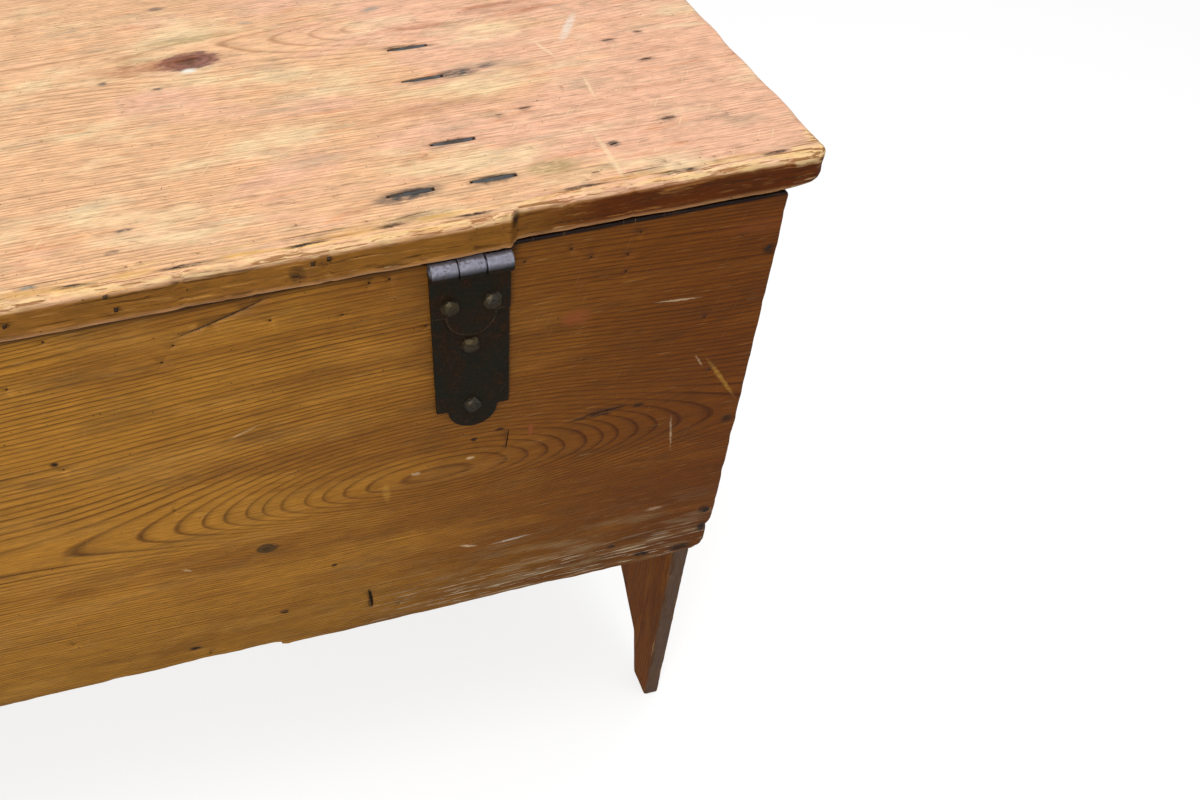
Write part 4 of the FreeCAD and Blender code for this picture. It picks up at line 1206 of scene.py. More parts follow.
@dataclass
class Carcass:
    """The six boards of the box and the nails that hold them."""

    nail_x: float = 522.5
    nail_levels: tuple[float, ...] = (610.0, 453.0, 344.0)
    head_width: float = 8.6
    gain: tuple[float, float, float] = (301.5, 352.5, 644.4)
    step: Point = (-163.0, 295.5)
    knee: Point = (59.0, 48.0)
    toe: float = 31.0
    notch: Point = (203.0, 3.3)
    end_span: Point = (-188.7, 195.3)
    bottom_span: Point = (298.0, 316.0)
    housing: float = 5.0

    def build(self) -> None:
        """Makes every board and nail."""
        self._back()
        self._front()
        self._ends()
        self._bottom()
        self._nails()

    def _back_outline(self) -> list[tuple[float, float, float]]:
        """The back board's outline, anticlockwise as x, z and corner radius."""
        inner, outer, low = self.gain
        step_x, step_z = self.step
        top, right = BOARD_TOP, HALF_LENGTH
        return [(-right, BOARD_LOW, 9), (step_x - 5, BOARD_LOW, 3), (step_x - 1.2, BOARD_LOW + 3.2, 1.2),
                (step_x - 0.6, step_z, 0.6), (right, step_z, 7),
                (right, top, 3), (outer, top, 0.9), (outer, low, 0.6), (inner, low, 0.6), (inner, top, 0.9),
                (-inner, top, 0.9), (-inner, low, 0.6), (-outer, low, 0.6), (-outer, top, 0.9), (-right, top, 3)]

    @staticmethod
    def _back_arris(places: np.ndarray) -> np.ndarray:
        """How far the back board's outer arris is worn round."""
        x, z = places[:, 0], places[:, 1]
        worn = (1.5 + 1.1 * ripple(places, 24, 3) + 0.7 * ripple(places, 8, 5)) * np.where(z > 640, 0.5, 1)
        low = (z < 300) * (2.2 + 2.0 * ripple(places, 40, 9))
        bare_top = ((z > 640) & (x < -355)) * (0.8 + 1.3 * ripple(places, 18, 11))
        corner = np.exp(-((x + 530) ** 2 + (z - 292) ** 2) / 45 ** 2) * 2.5
        return (worn + low + bare_top + corner).clip(0.7, 8)

    @staticmethod
    def _back_nibble(places: np.ndarray) -> np.ndarray:
        """How much is lost from the back board's outline."""
        x, z = places[:, 0], places[:, 1]
        chips = (ripple(places, 26, 21) - 0.25).clip(0, 1) * 2.4 + (ripple(places, 9, 25) - 0.3).clip(0, 1) * 1.2
        loss = ((x < -520) & (z < 324)) * 2.2 + np.exp(-((x + 530) ** 2 + (z - 324) ** 2) / 5 ** 2) * 1.5
        still = (z > 640) & (np.abs(np.abs(x) - 327) < 34)
        return (0.15 + chips * (z < 640) + loss) * ~still + 0.05 * still

    def _back(self) -> None:
        """The back board, which shows most in the photograph."""
        holes = [worm_hole(x, z) for x, z in (
            (-84, 641), (-151, 621), (-142, 610), (-55, 612), (-65, 539), (-109, 304), (-262, 312), (-391, 637),
            (-404, 628), (-428, 625), (-428, 612), (-362, 634), (-280, 640), (-300, 599), (-435, 640),
            (-268, 640), (-250, 620), (-208, 626), (-18, 356), (-120, 480), (-488, 560), (-500, 508))]
        cracks = [slit(-181, 635, 68, 1.7, -16.5, 3.0, bend=-1.2), slit(-240, 328, 27, 2.2, 88, 1.6, bend=0.8),
                  slit(-425, 489, 34, 1.5, -4, 1.2), slit(-352, 481, 22, 1.0, 96, 0.8)]
        rest = scattered_holes(11, 22, (20, 310), (515, 640)) + scattered_holes(12, 9, (-500, 320), (500, 630), True)
        board = Plank("worn_back_board", self._back_outline(), BOARD_THICK, (1, 0, 0), (0, 0, 1), (0, -1, 0),
                      (0, BACK_FACE, 0), self._back_arris, flat(1.2), self._back_nibble,
                      wear=self._back_wear, hollows=holes + cracks + rest, seed=2.0)
        dress(board.build(BACK_PINE.build()), "chest", "pine_boards", "back_board")

    @staticmethod
    def _back_wear(places: np.ndarray) -> np.ndarray:
        """How bare each part of the back board's arrises is rubbed."""
        x, z = places[:, 0], places[:, 1]
        return 0.25 + 0.35 * ((z > 620) & (x < -350)) + 0.6 * (z < 330) * np.clip((-x - 100) / 300, 0.35, 1)

    def _front(self) -> None:
        """The front board."""
        right = HALF_LENGTH
        outline = [(-right, BOARD_LOW, 5), (right, BOARD_LOW, 7), (right, BOARD_TOP, 4), (-right, BOARD_TOP, 4)]
        holes = scattered_holes(21, 34, (-510, 305), (515, 640)) + scattered_holes(22, 8, (-500, 320), (500, 630), True)
        cracks = [slit(-410, 316, 90, 1.4, 2, 2.0, bend=2), slit(180, 630, 52, 1.2, -3, 2.0)]
        board = Plank("worn_front_board", outline, BOARD_THICK, (1, 0, 0), (0, 0, 1), (0, 1, 0),
                      (0, FRONT_FACE, 0), lambda p: (2.2 + 1.5 * ripple(p, 26, 41) + 0.8 * ripple(p, 8, 43)).clip(0.8, 6),
                      flat(1.2), lambda p: (ripple(p, 30, 45) - 0.2).clip(0, 1) * 2.0, hollows=holes + cracks, seed=5.0)
        dress(board.build(FRONT_PINE.build()), "chest", "pine_boards", "front_board")

    def _ends(self) -> None:
        """The two end boards, whose lower ends are the feet."""
        near, far = self.end_span
        apex_z, apex_y = self.notch
        knee_z, knee_wide = self.knee
        outline = [(BOARD_TOP, near, 1.5), (BOARD_TOP, far, 1.5), (0, far, 4), (0, far - self.toe, 4),
                   (knee_z, far - knee_wide, 3), (apex_z, apex_y, 9), (knee_z, near + knee_wide, 3),
                   (0, near + self.toe, 4), (0, near, 4)]
        low, high = self.bottom_span
        groove = [(low, near + 0.9), (high, near + 0.9)]
        groove += [(high, near + 0.9 + k * (far - near - 1.8) / 24) for k in range(1, 25)]
        groove += [(low, far - 0.9 - k * (far - near - 1.8) / 24) for k in range(24)]
        for name, side in (("left", -1), ("right", 1)):
            seed = 61.0 if side < 0 else 71.0
            flip = side
            corners = outline if side > 0 else outline
            hollows = scattered_holes(31 + side, 20, (30, near + 12), (640, far - 12)) + [
                Hollow(tuple(groove), self.housing, 1.0, True),
                slit(300, 40, 120, 1.6, 2, 2.5), slit(560, -90, 60, 1.2, -2, 2.0)]
            board = Plank("worn_end_board_" + name, corners, END_THICK, (0, 0, 1), (0, 1, 0), (-side, 0, 0),
                          (side * HALF_LENGTH, 0, 0),
                          lambda p, k=seed: (1.8 + 1.2 * ripple(p, 22, k) + 0.6 * ripple(p, 7, k + 1)).clip(0.6, 4.5),
                          lambda p, k=seed: (1.2 + (p[:, 0] < 285) * (1.6 + 1.4 * ripple(p, 22, k + 3))).clip(0.5, 4.5),
                          lambda p, k=seed: (ripple(p, 28, k + 5) - 0.1).clip(0, 1) * 1.4 * (p[:, 0] < 290),
                          wear=lambda p: 0.35 + 0.55 * (p[:, 0] < 290), hollows=hollows, grid=8.0, inner_edge=1.0, seed=seed * flip)
            dress(board.build(END_PINE[side].build()), "chest", "pine_ends", "end_board_" + name)

    def _bottom(self) -> None:
        """The three bottom boards in the ends' housings."""
        low, high = self.bottom_span
        right = 519.6
        for number, name in enumerate(("front", "middle", "back")):
            start, stop = (c / MM for c in (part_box("bottom_board_" + name)[0].y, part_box("bottom_board_" + name)[1].y))
            outline = [(-right, start, 0.6), (right, start, 0.6), (right, stop, 0.6), (-right, stop, 0.6)]
            board = Plank("worn_bottom_board_" + name, outline, high - low, (1, 0, 0), (0, 1, 0), (0, 0, -1),
                          (0, 0, high), flat(0.7), flat(0.7), flat(0.05), wear=flat(0.2), swell=0.1,
                          hollows=scattered_holes(81 + number, 6, (-490, start + 10), (490, stop - 10)),
                          seed=90.0 + number)
            dress(board.build(BOTTOM_PINE.build()), "chest", "pine_inside", "bottom_board_" + name)

    def _nails(self) -> None:
        """The flat heads in the boards' ends, sunk a little below the wood."""
        spots, nodes = [], []
        for side in (-1, 1):
            name = "left" if side < 0 else "right"
            for level in self.nail_levels:
                spots.append(Spot((side * self.nail_x, BACK_FACE - 1.6, level), (0, 1, 0)))
                spots.append(Spot((side * self.nail_x, FRONT_FACE + 1.6, level), (0, -1, 0)))
            for y in (-124.365, 3.3, 130.965):
                spots.append(Spot((side * (HALF_LENGTH - 1.6), y, 307.0), (side, 0, 0)))
            nodes += ["back_nails_" + name, "front_nails_" + name, "bottom_nails_" + name]
        nails = Nails("carcass_nail_heads", NailPart.HEAD, spots, self.head_width, 1.5, facets=7, flat_top=0.72,
                      sink=0.2, hammer=0.25)
        dress(nails.build(NAIL_IRON.build()), "chest", "nail_iron", *nodes)


@dataclass
class LidBoard:
    """The one-plank lid, with a strip split from its rear edge and worn, wormy arrises."""

    half_length: float = 553.0
    front: float = -231.7
    rear: float = 224.3
    split: tuple[float, float, float] = (-353.0, -358.0, 216.8)
    slot_half: float = 2.3
    edge_holes: tuple[tuple[float, float, float], ...] = (
        (-72.5, 224.3, 662.0), (-126.6, 224.3, 668.0), (-129.8, 224.3, 659.0), (-238.3, 224.3, 667.0),
        (-247.0, 224.3, 668.0), (-12.0, 224.3, 664.0), (96.0, 224.3, 660.0), (180.0, 224.3, 667.0),
        (402.0, 224.3, 663.0))

    def _outline(self) -> list[tuple[float, float, float]]:
        """The lid seen from above, anticlockwise as x, y and corner radius."""
        end = self.half_length
        start, stop, back = self.split
        return [(-end, self.front, 9), (end, self.front, 9), (end, self.rear, 9), (start + 1.2, self.rear, 2.2),
                (start - 0.6, self.rear - 2.6, 0.8), (start - 1.8, self.rear - 4.4, 0.8), (stop, back, 1.5),
                (-end, back, 9)]

    def _arris(self, places: np.ndarray) -> np.ndarray:
        """How far the top arris is worn round."""
        x, y = places[:, 0], places[:, 1]
        worn = 4.0 + 1.2 * ripple(places, 34, 101)
        rear = (y > self.split[2] - 4) * (1.9 + 3.2 * ripple(places, 19, 103) + 2.4 * ripple(places, 8, 105))
        end = (x < -540) * (0.5 + 1.5 * ripple(places, 30, 107))
        return (worn + rear + end).clip(1.8, 9)

    def _nibble(self, places: np.ndarray) -> np.ndarray:
        """How much is lost from the outline."""
        y = places[:, 1]
        rear = y > self.split[2] - 4
        chips = (ripple(places, 30, 111) + 0.2).clip(0, 1) * 1.6 + (ripple(places, 8, 113) - 0.1).clip(0, 1) * 1.6
        return 0.1 + chips * np.where(rear, 1.0, 0.45)

    def _low_arris(self, places: np.ndarray) -> np.ndarray:
        """How far the low arris is worn round, most at the near corner."""
        x, y = places[:, 0], places[:, 1]
        corner = np.exp(-((x + 553) ** 2 + (y - 216) ** 2) / 16 ** 2)
        return (1.2 + 0.8 * ripple(places, 20, 121) + 6.0 * corner).clip(0.6, 8)

    def _slots(self) -> tuple[list[Hollow], list[Spot]]:
        """The slots that the hinge nails' points are beaten into, and the points."""
        hollows, spots = [], []
        for side in (-1, 1):
            for across, y, bend in ((-13, 185.3, -1), (13, 185.3, 1), (0, 139.15, -1), (0, 57.15, -1), (0, 11.15, -1)):
                x = side * HINGE_X - side * across
                way = -side * bend
                start, stop = sorted((x - way * 2.6, x + way * 26.6))
                half = self.slot_half
                loop = ((start, y - half), (start + 9, y - half * 1.25), (stop - 8, y - half * 1.1), (stop, y - half * 0.7),
                        (stop, y + half * 0.7), (stop - 9, y + half * 1.2), (start + 7, y + half * 1.3), (start, y + half))
                hollows.append(Hollow(loop, 2.4, 0.97))
                spots.append(Spot((x + way * 12, y, LID_TOP - 1.5), (0, 0, 1), 180.0 * (way < 0)))
        return hollows, spots

    def build(self) -> None:
        """Makes the lid and the nails' points in it."""
        slots, spots = self._slots()
        holes = [worm_hole(x, y) for x, y in (
            (-142, 29), (-320, 149), (-233, 197), (-177, 207), (-146, 206), (-138, 208), (-272, 205), (-512, 158),
            (-484, 202), (-461, 203), (-454, 198), (-404, 203), (-424, 96), (-495, 200), (-520, 120), (-60, 120),
            (-45, 190), (-90, 60))]
        gouges = [slit(-375, 117, 5, 1.8), slit(-393, 114, 9, 1.6), slit(-475, 44, 9, 1.7), slit(-499, 39, 5, 1.6),
                  slit(-475, 153, 10, 1.5), slit(-411, 197, 6, 1.6), slit(-490, 78, 9, 1.6), slit(-189, -19, 24, 1.1, 8),
                  slit(-432, 171, 7, 2.0, 20), slit(-299, 207, 26, 1.3, 6, 1.8), slit(-240, 208, 44, 1.2, 2, 1.8),
                  slit(-100, 209, 60, 1.2, 1, 2.0), slit(-438, 203, 34, 1.4, 2, 1.8), slit(-505, 201, 18, 1.2, -3, 1.5)]
        rest = scattered_holes(41, 22, (-20, -215), (540, 205)) + scattered_holes(42, 10, (-500, -200), (500, 190), True)
        board = Plank("worn_lid", self._outline(), LID_TOP - LID_LOW, (1, 0, 0), (0, 1, 0), (0, 0, -1),
                      (0, 0, LID_TOP), self._arris, self._low_arris, self._nibble, wear=self._wear,
                      hollows=slots + holes + gouges + rest, edge_holes=self.edge_holes, pitch=3.2, swell=0.45, side_rows=7, seed=3.0)
        dress(board.build(LID_PINE.build()), "lid", "pine_lid", "lid")
        points = Nails("clenched_points", NailPart.POINT, spots, 3.4, 1.2, 25.0, spin=3.0, hammer=0.25, sink=0.6)
        dress(points.build(POINT_IRON.build()), "lid", "nail_iron")

    def _wear(self, places: np.ndarray) -> np.ndarray:
        """How bare each part of the lid's arrises is rubbed."""
        return 0.35 + 0.65 * (places[:, 1] > 190) + 0.3 * (places[:, 0] < -530)


@dataclass
class Hinge:
    """A folded strap hinge: one strap down the back, one under the lid, a pin and nine nails."""

    side: int
    proud: float = 2.8
    doubled: float = 5.5

    @property
    def name(self) -> str:
        """Which end of the chest it is at."""
        return "left" if self.side < 0 else "right"

    def build(self, iron: bpy.types.Material, head_iron: bpy.types.Material) -> None:
        """Makes the hinge's straps and dresses its pin.

        Args:
            iron: The straps' and the pin's material.
            head_iron: The nail heads' material.
        """
        back, lid, pin = ("hinge_%s_%s" % (self.name, part) for part in ("back_strap", "lid_strap", "pin"))
        dress(Strap("forged_back_strap_" + self.name, back, lap_level=605.95, seed=3.0 * self.side).build(iron),
              "chest", "wrought_iron", back)
        dress(Strap("forged_lid_strap_" + self.name, lid, voxel=1.0, seed=9.0 * self.side).build(iron),
              "lid", "wrought_iron", lid)
        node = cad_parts[pin]
        node.data.materials.clear()
        node.data.materials.append(iron)
        middle = HINGE_X * self.side
        face = BACK_FACE + 0.3
        spots = [Spot((middle + across * self.side, face + depth, z), (0, 1, 0)) for across, depth, z in (
            (-13, 5.2, 614.95), (13, 5.2, 614.95), (0, 2.5, 579.95), (0, 2.5, 526.45))]
        heads = Nails("rose_heads_back_" + self.name, NailPart.ROSE, spots, 12.8, 4.4, hammer=0.8, seed=7 + self.side)
        dress(heads.build(head_iron), "chest", "nail_iron", "hinge_%s_back_nails" % self.name)
        under = LID_LOW - 0.3
        spots = [Spot((middle + across * self.side, y, under - depth), (0, 0, -1)) for across, depth, y in (
            (-13, 5.2, 185.3), (13, 5.2, 185.3), (0, 2.5, 135.15), (0, 2.5, 65.15), (0, 2.5, 11.15))]
        heads = Nails("rose_heads_lid_" + self.name, NailPart.ROSE, spots, 12.8, 4.2, hammer=0.7, seed=27 + self.side)
        dress(heads.build(head_iron), "lid", "nail_iron", "hinge_%s_lid_nails" % self.name)


# Finishes. Old pine: soft, waxed and rubbed for many years, so its latewood lines stand dark and a little
# proud, its sheen is low and uneven, and its dents hold dirt.

BACK_MARKS = (
    Mark(Stain.DARK, -173, 337, 7, 5), Mark(Stain.DARK, -99, 315, 10, 5), Mark(Stain.DARK, -240, 328, 4, 26, 4, 0.7),
    Mark(Stain.DARK, -442, 323, 8, 5), Mark(Stain.RED, -397, 582, 20, 13), Mark(Stain.DARK, -61, 545, 6, 4),
    Mark(Stain.RED, -369, 486, 4, 14), Mark(Stain.DARK, -419, 487, 44, 5, -4, 0.7),
    Mark(Stain.DARK, -449, 488, 10, 5, 0, 0.8), Mark(Stain.PALE, -467, 580, 30, 1.6, 5, 0.48),
    Mark(Stain.YELLOW, -510, 498, 50, 3.2, 58, 0.51), Mark(Stain.PALE, -478, 450, 36, 1.6, 84, 0.36),
    Mark(Stain.PALE, -321, 368, 14, 2.8, 20, 0.54), Mark(Stain.WHITE, -355, 364, 30, 2.4, -3, 0.48),
    Mark(Stain.PALE, -325, 470, 6, 3.2, 0, 0.48), Mark(Stain.DARK, -328, 488, 5, 4), Mark(Stain.DARK, -346, 493, 7, 3),
    Mark(Stain.YELLOW, -263, 452, 6, 19.2, 0, 0.42), Mark(Stain.PALE, -285, 465, 7, 3.2, 0, 0.42),
    Mark(Stain.PALE, -177, 540, 22, 1.6, -20, 0.3), Mark(Stain.PALE, -114, 414, 8, 2.4, 30, 0.36),
    Mark(Stain.DARK, -217, 381, 5, 4), Mark(Stain.PALE, -33, 298, 30, 3.2, 0, 0.3), Mark(Stain.PALE, -475, 362, 14, 4, 0, 0.3),
    Mark(Stain.DARK, -505, 300, 22, 9), Mark(Stain.DARK, -470, 303, 16, 7, 10), Mark(Stain.DARK, -522, 322, 10, 12),
    Mark(Stain.DARK, -525, 608, 9.5, 10, 0, 0.7), Mark(Stain.DARK, -522, 453, 9.5, 10, 0, 0.7),
    Mark(Stain.DARK, -520, 346, 9.5, 10, 0, 0.7), Mark(Stain.DARK, -327, 560, 58, 96, 0, 0.45),
    Mark(Stain.RED, -520, 628, 60, 14, 0, 0.3), Mark(Stain.PALE, -490, 520, 14, 1.6, 60, 0.3),
    Mark(Stain.DARK, 525, 610, 9.5, 10, 0, 0.7), Mark(Stain.DARK, 523, 453, 9.5, 10, 0, 0.7),
    Mark(Stain.DARK, 523, 344, 9.5, 10, 0, 0.7), Mark(Stain.DARK, 327, 560, 58, 96, 0, 0.45),
    Mark(Stain.PALE, 210, 520, 60, 2, 12, 0.3), Mark(Stain.DARK, 120, 400, 8, 5), Mark(Stain.RED, 420, 380, 26, 14, 0, 0.6))

BACK_PINE = Pine(
    "aged_oiled_pine_back", (-math.pi / 2, 0, 0), (1, 1, 1), (0, 0, BACK_FACE), early="b1792a", late="573210",
    bare="b98f62", roughness=0.46, ring=3.2, pith_v=460.0, pith_w=25.0, flame_u=-300.0, flame_rise=42.0,
    flame_reach=150.0, squeeze=1.55, waviness=7.0, line=1.0, mottle=0.25,
    scratches=((0.0, "c9a36a", 0.35), (70.0, "b08a58", 0.18)),
    patches=(Patch("744214", 190, 44, 0.5, lean=(60.0, -420.0)), Patch("b9843c", 170, 34, 0.45, 0.5, 0.7),
             Patch("5d4326", 70, 20, 0.35, 0.5, 0.72)),
    streaks=(Patch("a08762", 54, 9.0, 0.42, 0.46, 0.66, within=((1, 400.0, 320.0), (0, -180.0, -420.0))),
             Patch("cdbb9f", 36, 2.2, 0.75, 0.55, 0.64, within=((1, 345.0, 306.0), (0, -140.0, -350.0)))),
    shades=(Shade(0, -150.0, -530.0, "bea075"), Shade(1, 390.0, 300.0, "eef0e2"), Shade(2, 19.0, 22.0, "a08a68", False),
            # Painted shadow: a dark band at the board's top where the lid overhangs it, and a painted dark line of
            # shade along the top arris, in the gap under the lid.
            Shade(1, 641.0, 648.0, "3a2a1c", within=((0, -361.0, -353.0), (2, 6.0, 4.0))),
            Shade(1, 647.0, 649.0, "2a1c10", within=((2, 6.0, 4.0),))),
    knots=(Knot(-172, 419, 5.5, 1.5, "4a3820"), Knot(250, 520, 10, 1.5), Knot(430, 350, 8, 1.6)), marks=BACK_MARKS)

FRONT_PINE = Pine(
    "aged_oiled_pine_front", (math.pi / 2, 0, 0), (1, -1, 1), (0, 0, -FRONT_FACE), early="b1792a", late="573210",
    bare="b98f62", roughness=0.46, ring=3.9, pith_v=510.0, pith_w=30.0, flame_u=180.0, flame_rise=40.0,
    flame_reach=210.0, squeeze=1.4, line=0.8, seed=31.0,
    patches=(Patch("7c4a26", 210, 50, 0.5), Patch("b9843c", 170, 34, 0.45, 0.5, 0.7), Patch("5d4326", 80, 24, 0.4, 0.5, 0.72)),
    shades=(Shade(1, 390.0, 300.0, "d8cdc2"), Shade(2, 19.0, 22.0, "a08a68", False)),
    knots=(Knot(-260, 430, 12, 1.6), Knot(330, 580, 9, 1.5), Knot(60, 350, 7, 1.7)),
    marks=(Mark(Stain.DARK, -525, 610, 13, 13, 0, 0.8), Mark(Stain.DARK, 525, 610, 13, 13, 0, 0.8),
           Mark(Stain.DARK, -523, 453, 13, 13, 0, 0.8), Mark(Stain.DARK, 523, 453, 13, 13, 0, 0.8),
           Mark(Stain.DARK, -523, 344, 13, 13, 0, 0.8), Mark(Stain.DARK, 523, 344, 13, 13, 0, 0.8),
           Mark(Stain.PALE, -120, 560, 70, 2.5, 14, 0.6), Mark(Stain.PALE, 240, 420, 50, 2.5, -30, 0.5),
           Mark(Stain.DARK, 20, 500, 9, 5), Mark(Stain.DARK, -330, 330, 11, 5), Mark(Stain.WHITE, 90, 304, 90, 5, 0, 0.4)))

END_PINE = {side: Pine(
    "aged_oiled_pine_end_" + name, (0, -math.pi / 2 * side, 0), (-side, 1, -1), (0, 0, HALF_LENGTH), early="ac7628",
    late="553410", bare="c0a070", roughness=0.48, ring=4.4, pith_v=30.0, pith_w=34.0, flame_u=150.0, flame_rise=36.0,
    flame_reach=260.0, line=0.75, seed=51.0 + side,
    patches=(Patch("7a4f1c", 160, 40, 0.5), Patch("bd8c3e", 90, 14, 0.5, 0.48, 0.66),
             Patch("4a3218", 60, 7, 0.5, 0.55, 0.7, within=((2, 4.0, 10.0),))),
    shades=(Shade(0, 290.0, 240.0, "cfa63a", within=((2, 4.0, 10.0),)),
            Shade(1, 192.0, 195.0, "5f4838", False, ((0, 292.0, 286.0),)), Shade(1, -185.0, -188.0, "5f4838", False, ((0, 292.0, 286.0),))), knots=(Knot(420, -80, 11, 1.6), Knot(250, 120, 8, 1.5)))
    for side, name in ((-1, "left"), (1, "right"))}

BOTTOM_PINE = Pine(
    "bare_dusty_pine", (0, 0, 0), (1, 1, -1), (0, 0, 316.0), early="b8966a", late="80572f", bare="c0a57c",
    roughness=0.62, ring=4.2, pith_v=20.0, pith_w=60.0, flame_rise=20.0, line=0.6, seed=77.0,
    patches=(Patch("8d7250", 150, 40, 0.6), Patch("9c6c40", 120, 30, 0.4)), knots=(Knot(-210, -90, 9), Knot(260, 110, 12)))

LID_MARKS = (
    Mark(Stain.IRON, -138, 174, 12, 5, 0, 0.7), Mark(Stain.IRON, -131, 193, 9, 5, 0, 0.6), Mark(Stain.GREY, -86, 212, 10, 4),
    Mark(Stain.IRON, -165, 16, 9, 4, 0, 0.7), Mark(Stain.IRON, -129, -3, 8, 5, 0, 0.7), Mark(Stain.IRON, -171, -109, 14, 6, 0, 0.7),
    Mark(Stain.GREY, -326, -56, 16, 7, 10, 0.7), Mark(Stain.IRON, -363, 57, 34, 13, 0, 0.85),
    Mark(Stain.IRON, -384, 53, 16, 8, 0, 0.7), Mark(Stain.IRON, -432, 171, 9, 7, 0, 0.7),
    Mark(Stain.OLIVE, -389, 184, 34, 17, 0, 0.7), Mark(Stain.GREY, -233, -64, 12, 5, 0, 0.7),
    Mark(Stain.DARK, -339, 139, 36, 6, 0, 0.85), Mark(Stain.DARK, -338, 10, 40, 6, -8, 0.7),
    Mark(Stain.DARK, -352, 186, 32, 9, 0, 0.75), Mark(Stain.IRON, -300, 187, 44, 14, 8, 0.85),
    Mark(Stain.RED, -166, -18, 90, 22, 0, 0.5), Mark(Stain.OLIVE, -192, -50, 70, 12, 0, 0.5),
    Mark(Stain.WHITE, -188, -3, 11, 7, 0, 1.0), Mark(Stain.DARK, -189, -17, 7, 15, 8, 0.9),
    Mark(Stain.DARK, -186, -20, 26, 4, 4, 0.8), Mark(Stain.PALE, -441, 102, 30, 2.5, 86, 0.7), Mark(Stain.PALE, -425, 186, 60, 4, 90, 0.6),
    Mark(Stain.PALE, -429, 43, 28, 3, 105, 0.7), Mark(Stain.WHITE, -455, 17, 44, 7, 60, 0.6), Mark(Stain.PALE, -531, 40, 44, 6, -6, 0.6),
    Mark(Stain.RED, -355, -17, 60, 9, -4, 0.45), Mark(Stain.RED, -430, -19, 50, 9, 4, 0.4), Mark(Stain.RED, -416, -34, 70, 7, 0, 0.4),
    Mark(Stain.RED, -320, 97, 120, 16, 0, 0.25), Mark(Stain.DARK, -475, 44, 14, 4, 0, 0.6), Mark(Stain.DARK, -499, 39, 8, 4, 0, 0.6),
    Mark(Stain.DARK, -475, 153, 14, 4, 0, 0.6), Mark(Stain.DARK, -490, 78, 14, 4, 0, 0.6), Mark(Stain.DARK, -393, 114, 14, 4, 0, 0.5),
    Mark(Stain.DARK, -284, 214, 20, 4, 0, 0.9, 2), Mark(Stain.DARK, -236, 217, 26, 3.5, 2, 0.9, 2), Mark(Stain.DARK, -170, 217, 34, 3, 0, 0.9, 2),
    Mark(Stain.DARK, -110, 217, 24, 3.5, -3, 0.9, 2), Mark(Stain.DARK, -60, 218, 36, 3, 2, 0.9, 2), Mark(Stain.DARK, -330, 217, 30, 4, 0, 0.9, 3),
    Mark(Stain.DARK, -400, 209, 34, 3.5, 0, 0.9, 2), Mark(Stain.DARK, -458, 210, 30, 3.5, -2, 0.9, 2), Mark(Stain.DARK, -520, 209, 24, 4, 0, 0.9, 3),
    Mark(Stain.YELLOW, -260, 213, 44, 8, 0, 0.4, 1), Mark(Stain.YELLOW, -200, 216, 34, 6, 0, 0.4, 2), Mark(Stain.YELLOW, -140, 215, 30, 7, 0, 0.4, 1),
    Mark(Stain.YELLOW, -310, 214, 30, 7, 0, 0.4, 1), Mark(Stain.YELLOW, -430, 207, 50, 7, 0, 0.4, 1), Mark(Stain.YELLOW, -490, 208, 40, 7, 0, 0.4, 1),
    Mark(Stain.YELLOW, -80, 215, 40, 6, 0, 0.4, 1), Mark(Stain.DARK, -228, 224, 10, 6, 0, 0.8, 15), 
    Mark(Stain.DARK, -356, 219, 7, 9, 0, 0.9, 8), Mark(Stain.DARK, 339, 139, 36, 6, 0, 0.85), Mark(Stain.DARK, 338, 10, 40, 6, 8, 0.7),
    Mark(Stain.DARK, 352, 186, 32, 9, 0, 0.75), Mark(Stain.IRON, 300, 187, 40, 12, 0, 0.8), Mark(Stain.IRON, 340, 57, 34, 10, 0, 0.8),
    Mark(Stain.PALE, 200, -60, 90, 3, 30, 0.6), Mark(Stain.OLIVE, 120, 80, 80, 24, 10, 0.5), Mark(Stain.PALE, 60, -160, 60, 3, -50, 0.5))

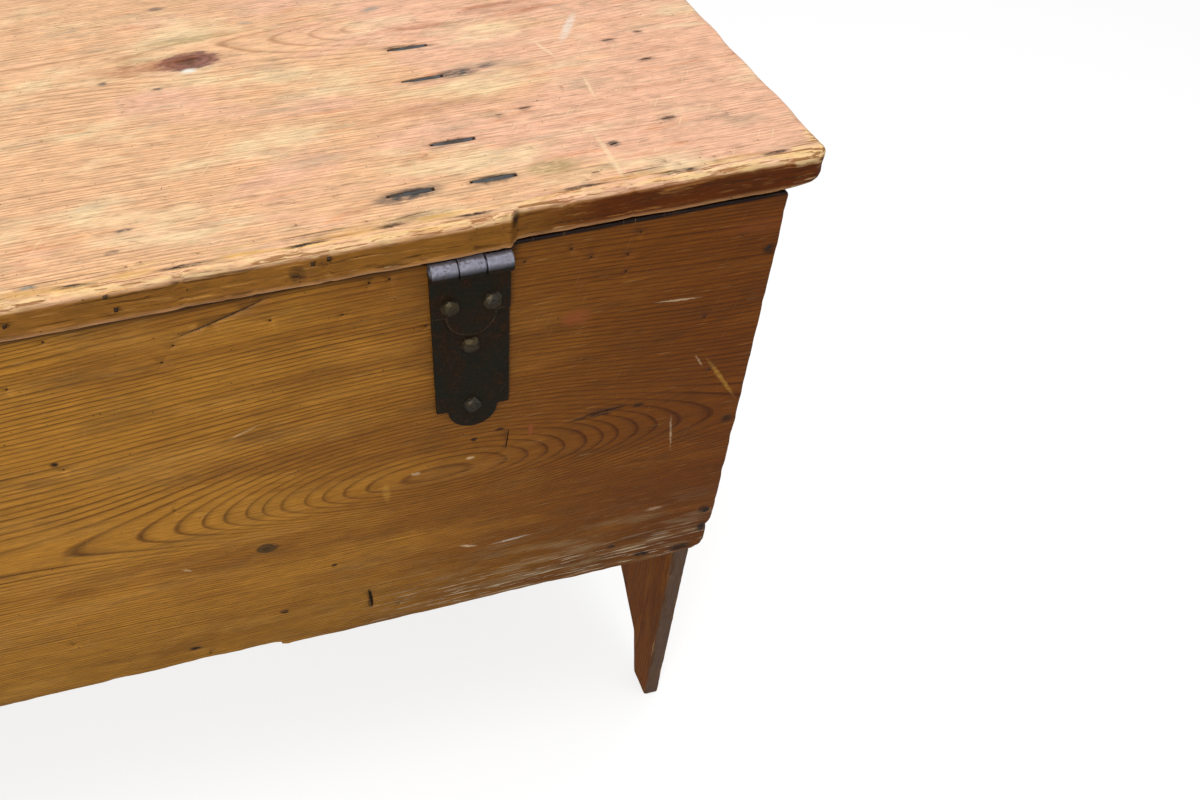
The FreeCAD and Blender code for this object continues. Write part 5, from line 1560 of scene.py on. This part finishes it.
LID_PINE = Pine(
    "worn_waxed_pine_lid", (0, 0, 0), (1, 1, -1), (0, 0, LID_TOP), early="dfb086", late="8c5a2e", bare="e6c48e",
    roughness=0.5, ring=2.9, pith_v=-30.0, pith_w=38.0, flame_u=-420.0, flame_rise=22.0, flame_reach=170.0,
    squeeze=1.3, waviness=8.0, line=0.62, mottle=0.85, pores=0.5, seed=13.0, wear_width=16.0,
    patches=(Patch("dfab94", 130, 55, 0.55, 0.46, 0.66, (-40.0, -520.0)), Patch("ead6a8", 110, 45, 0.5, 0.5, 0.68),
             Patch("a8957a", 70, 22, 0.55, 0.53, 0.72), Patch("c9743c", 60, 12, 0.45, 0.56, 0.74),
             Patch("7f6a52", 26, 5, 0.5, 0.60, 0.72), Patch("dcae62", 46, 5, 0.55, 0.48, 0.62, within=((1, 202.0, 216.0),))),
    streaks=(Patch("3d2109", 60, 2.2, 0.75, 0.54, 0.64, within=((2, 2.5, 6.0), (2, 23.3, 20.0))),
             Patch("c98f4a", 40, 2.6, 0.5, 0.56, 0.68, within=((2, 2.5, 6.0), (2, 23.3, 20.0))),
             Patch("6b4a2a", 22, 1.6, 0.45, 0.60, 0.68, within=((2, 4.0, 2.5),))),
    scratches=((14.0, "f3dcae", 0.5), (38.0, "9a774e", 0.5), (121.0, "f0d6a8", 0.45), (157.0, "8f6f4a", 0.5)),
    # The first shade gives the lid's edge faces a darker brown: partly their own dirtier finish, partly painted shade
    # for sides that face away from the light above.
    shades=(Shade(2, 3.5, 7.0, "8a5a1e", False), Shade(2, 3.5, 7.0, "a87c38", within=((0, -330.0, -420.0),)), Shade(2, 20.0, 24.0, "b8875a", False)),
    knots=(Knot(-189, -17, 13.5, 1.8, "7a4d4a"), Knot(240, -120, 12, 1.7), Knot(420, 60, 8, 1.5)), marks=LID_MARKS)

# Wrought iron from the forge: black scale and old wax, rust where it is damp, bare metal where it is rubbed, and a
# painted highlight on the knuckles' tops
STRAP_IRON = Iron("forged_waxed_iron", rubbed_with_highlight=True)
# Hammered heads, rubbed more than the straps, so the metal shows through a thin brown rust
HEAD_IRON = Iron("hammered_nail_heads", scale="3b3732", brown="463c29", rust="4d3a22", metal=0.6, roughness=0.36)
NAIL_IRON = Iron("rusted_flush_heads", scale="2a2523", brown="3a2a20", rust="5c341c", roughness=0.6)
POINT_IRON = Iron("beaten_nail_points", scale="4d4f52", brown="3c3834", rust="5a3d28", roughness=0.5)


def main() -> None:
    """Builds the scene."""
    logging.basicConfig(level=logging.INFO, format="%(message)s")
    Studio().build()
    Carcass().build()
    LidBoard().build()
    iron, head_iron = STRAP_IRON.build(), HEAD_IRON.build()
    for side in (-1, 1):
        Hinge(side).build(iron, head_iron)


if __name__ == "__main__":
    main()
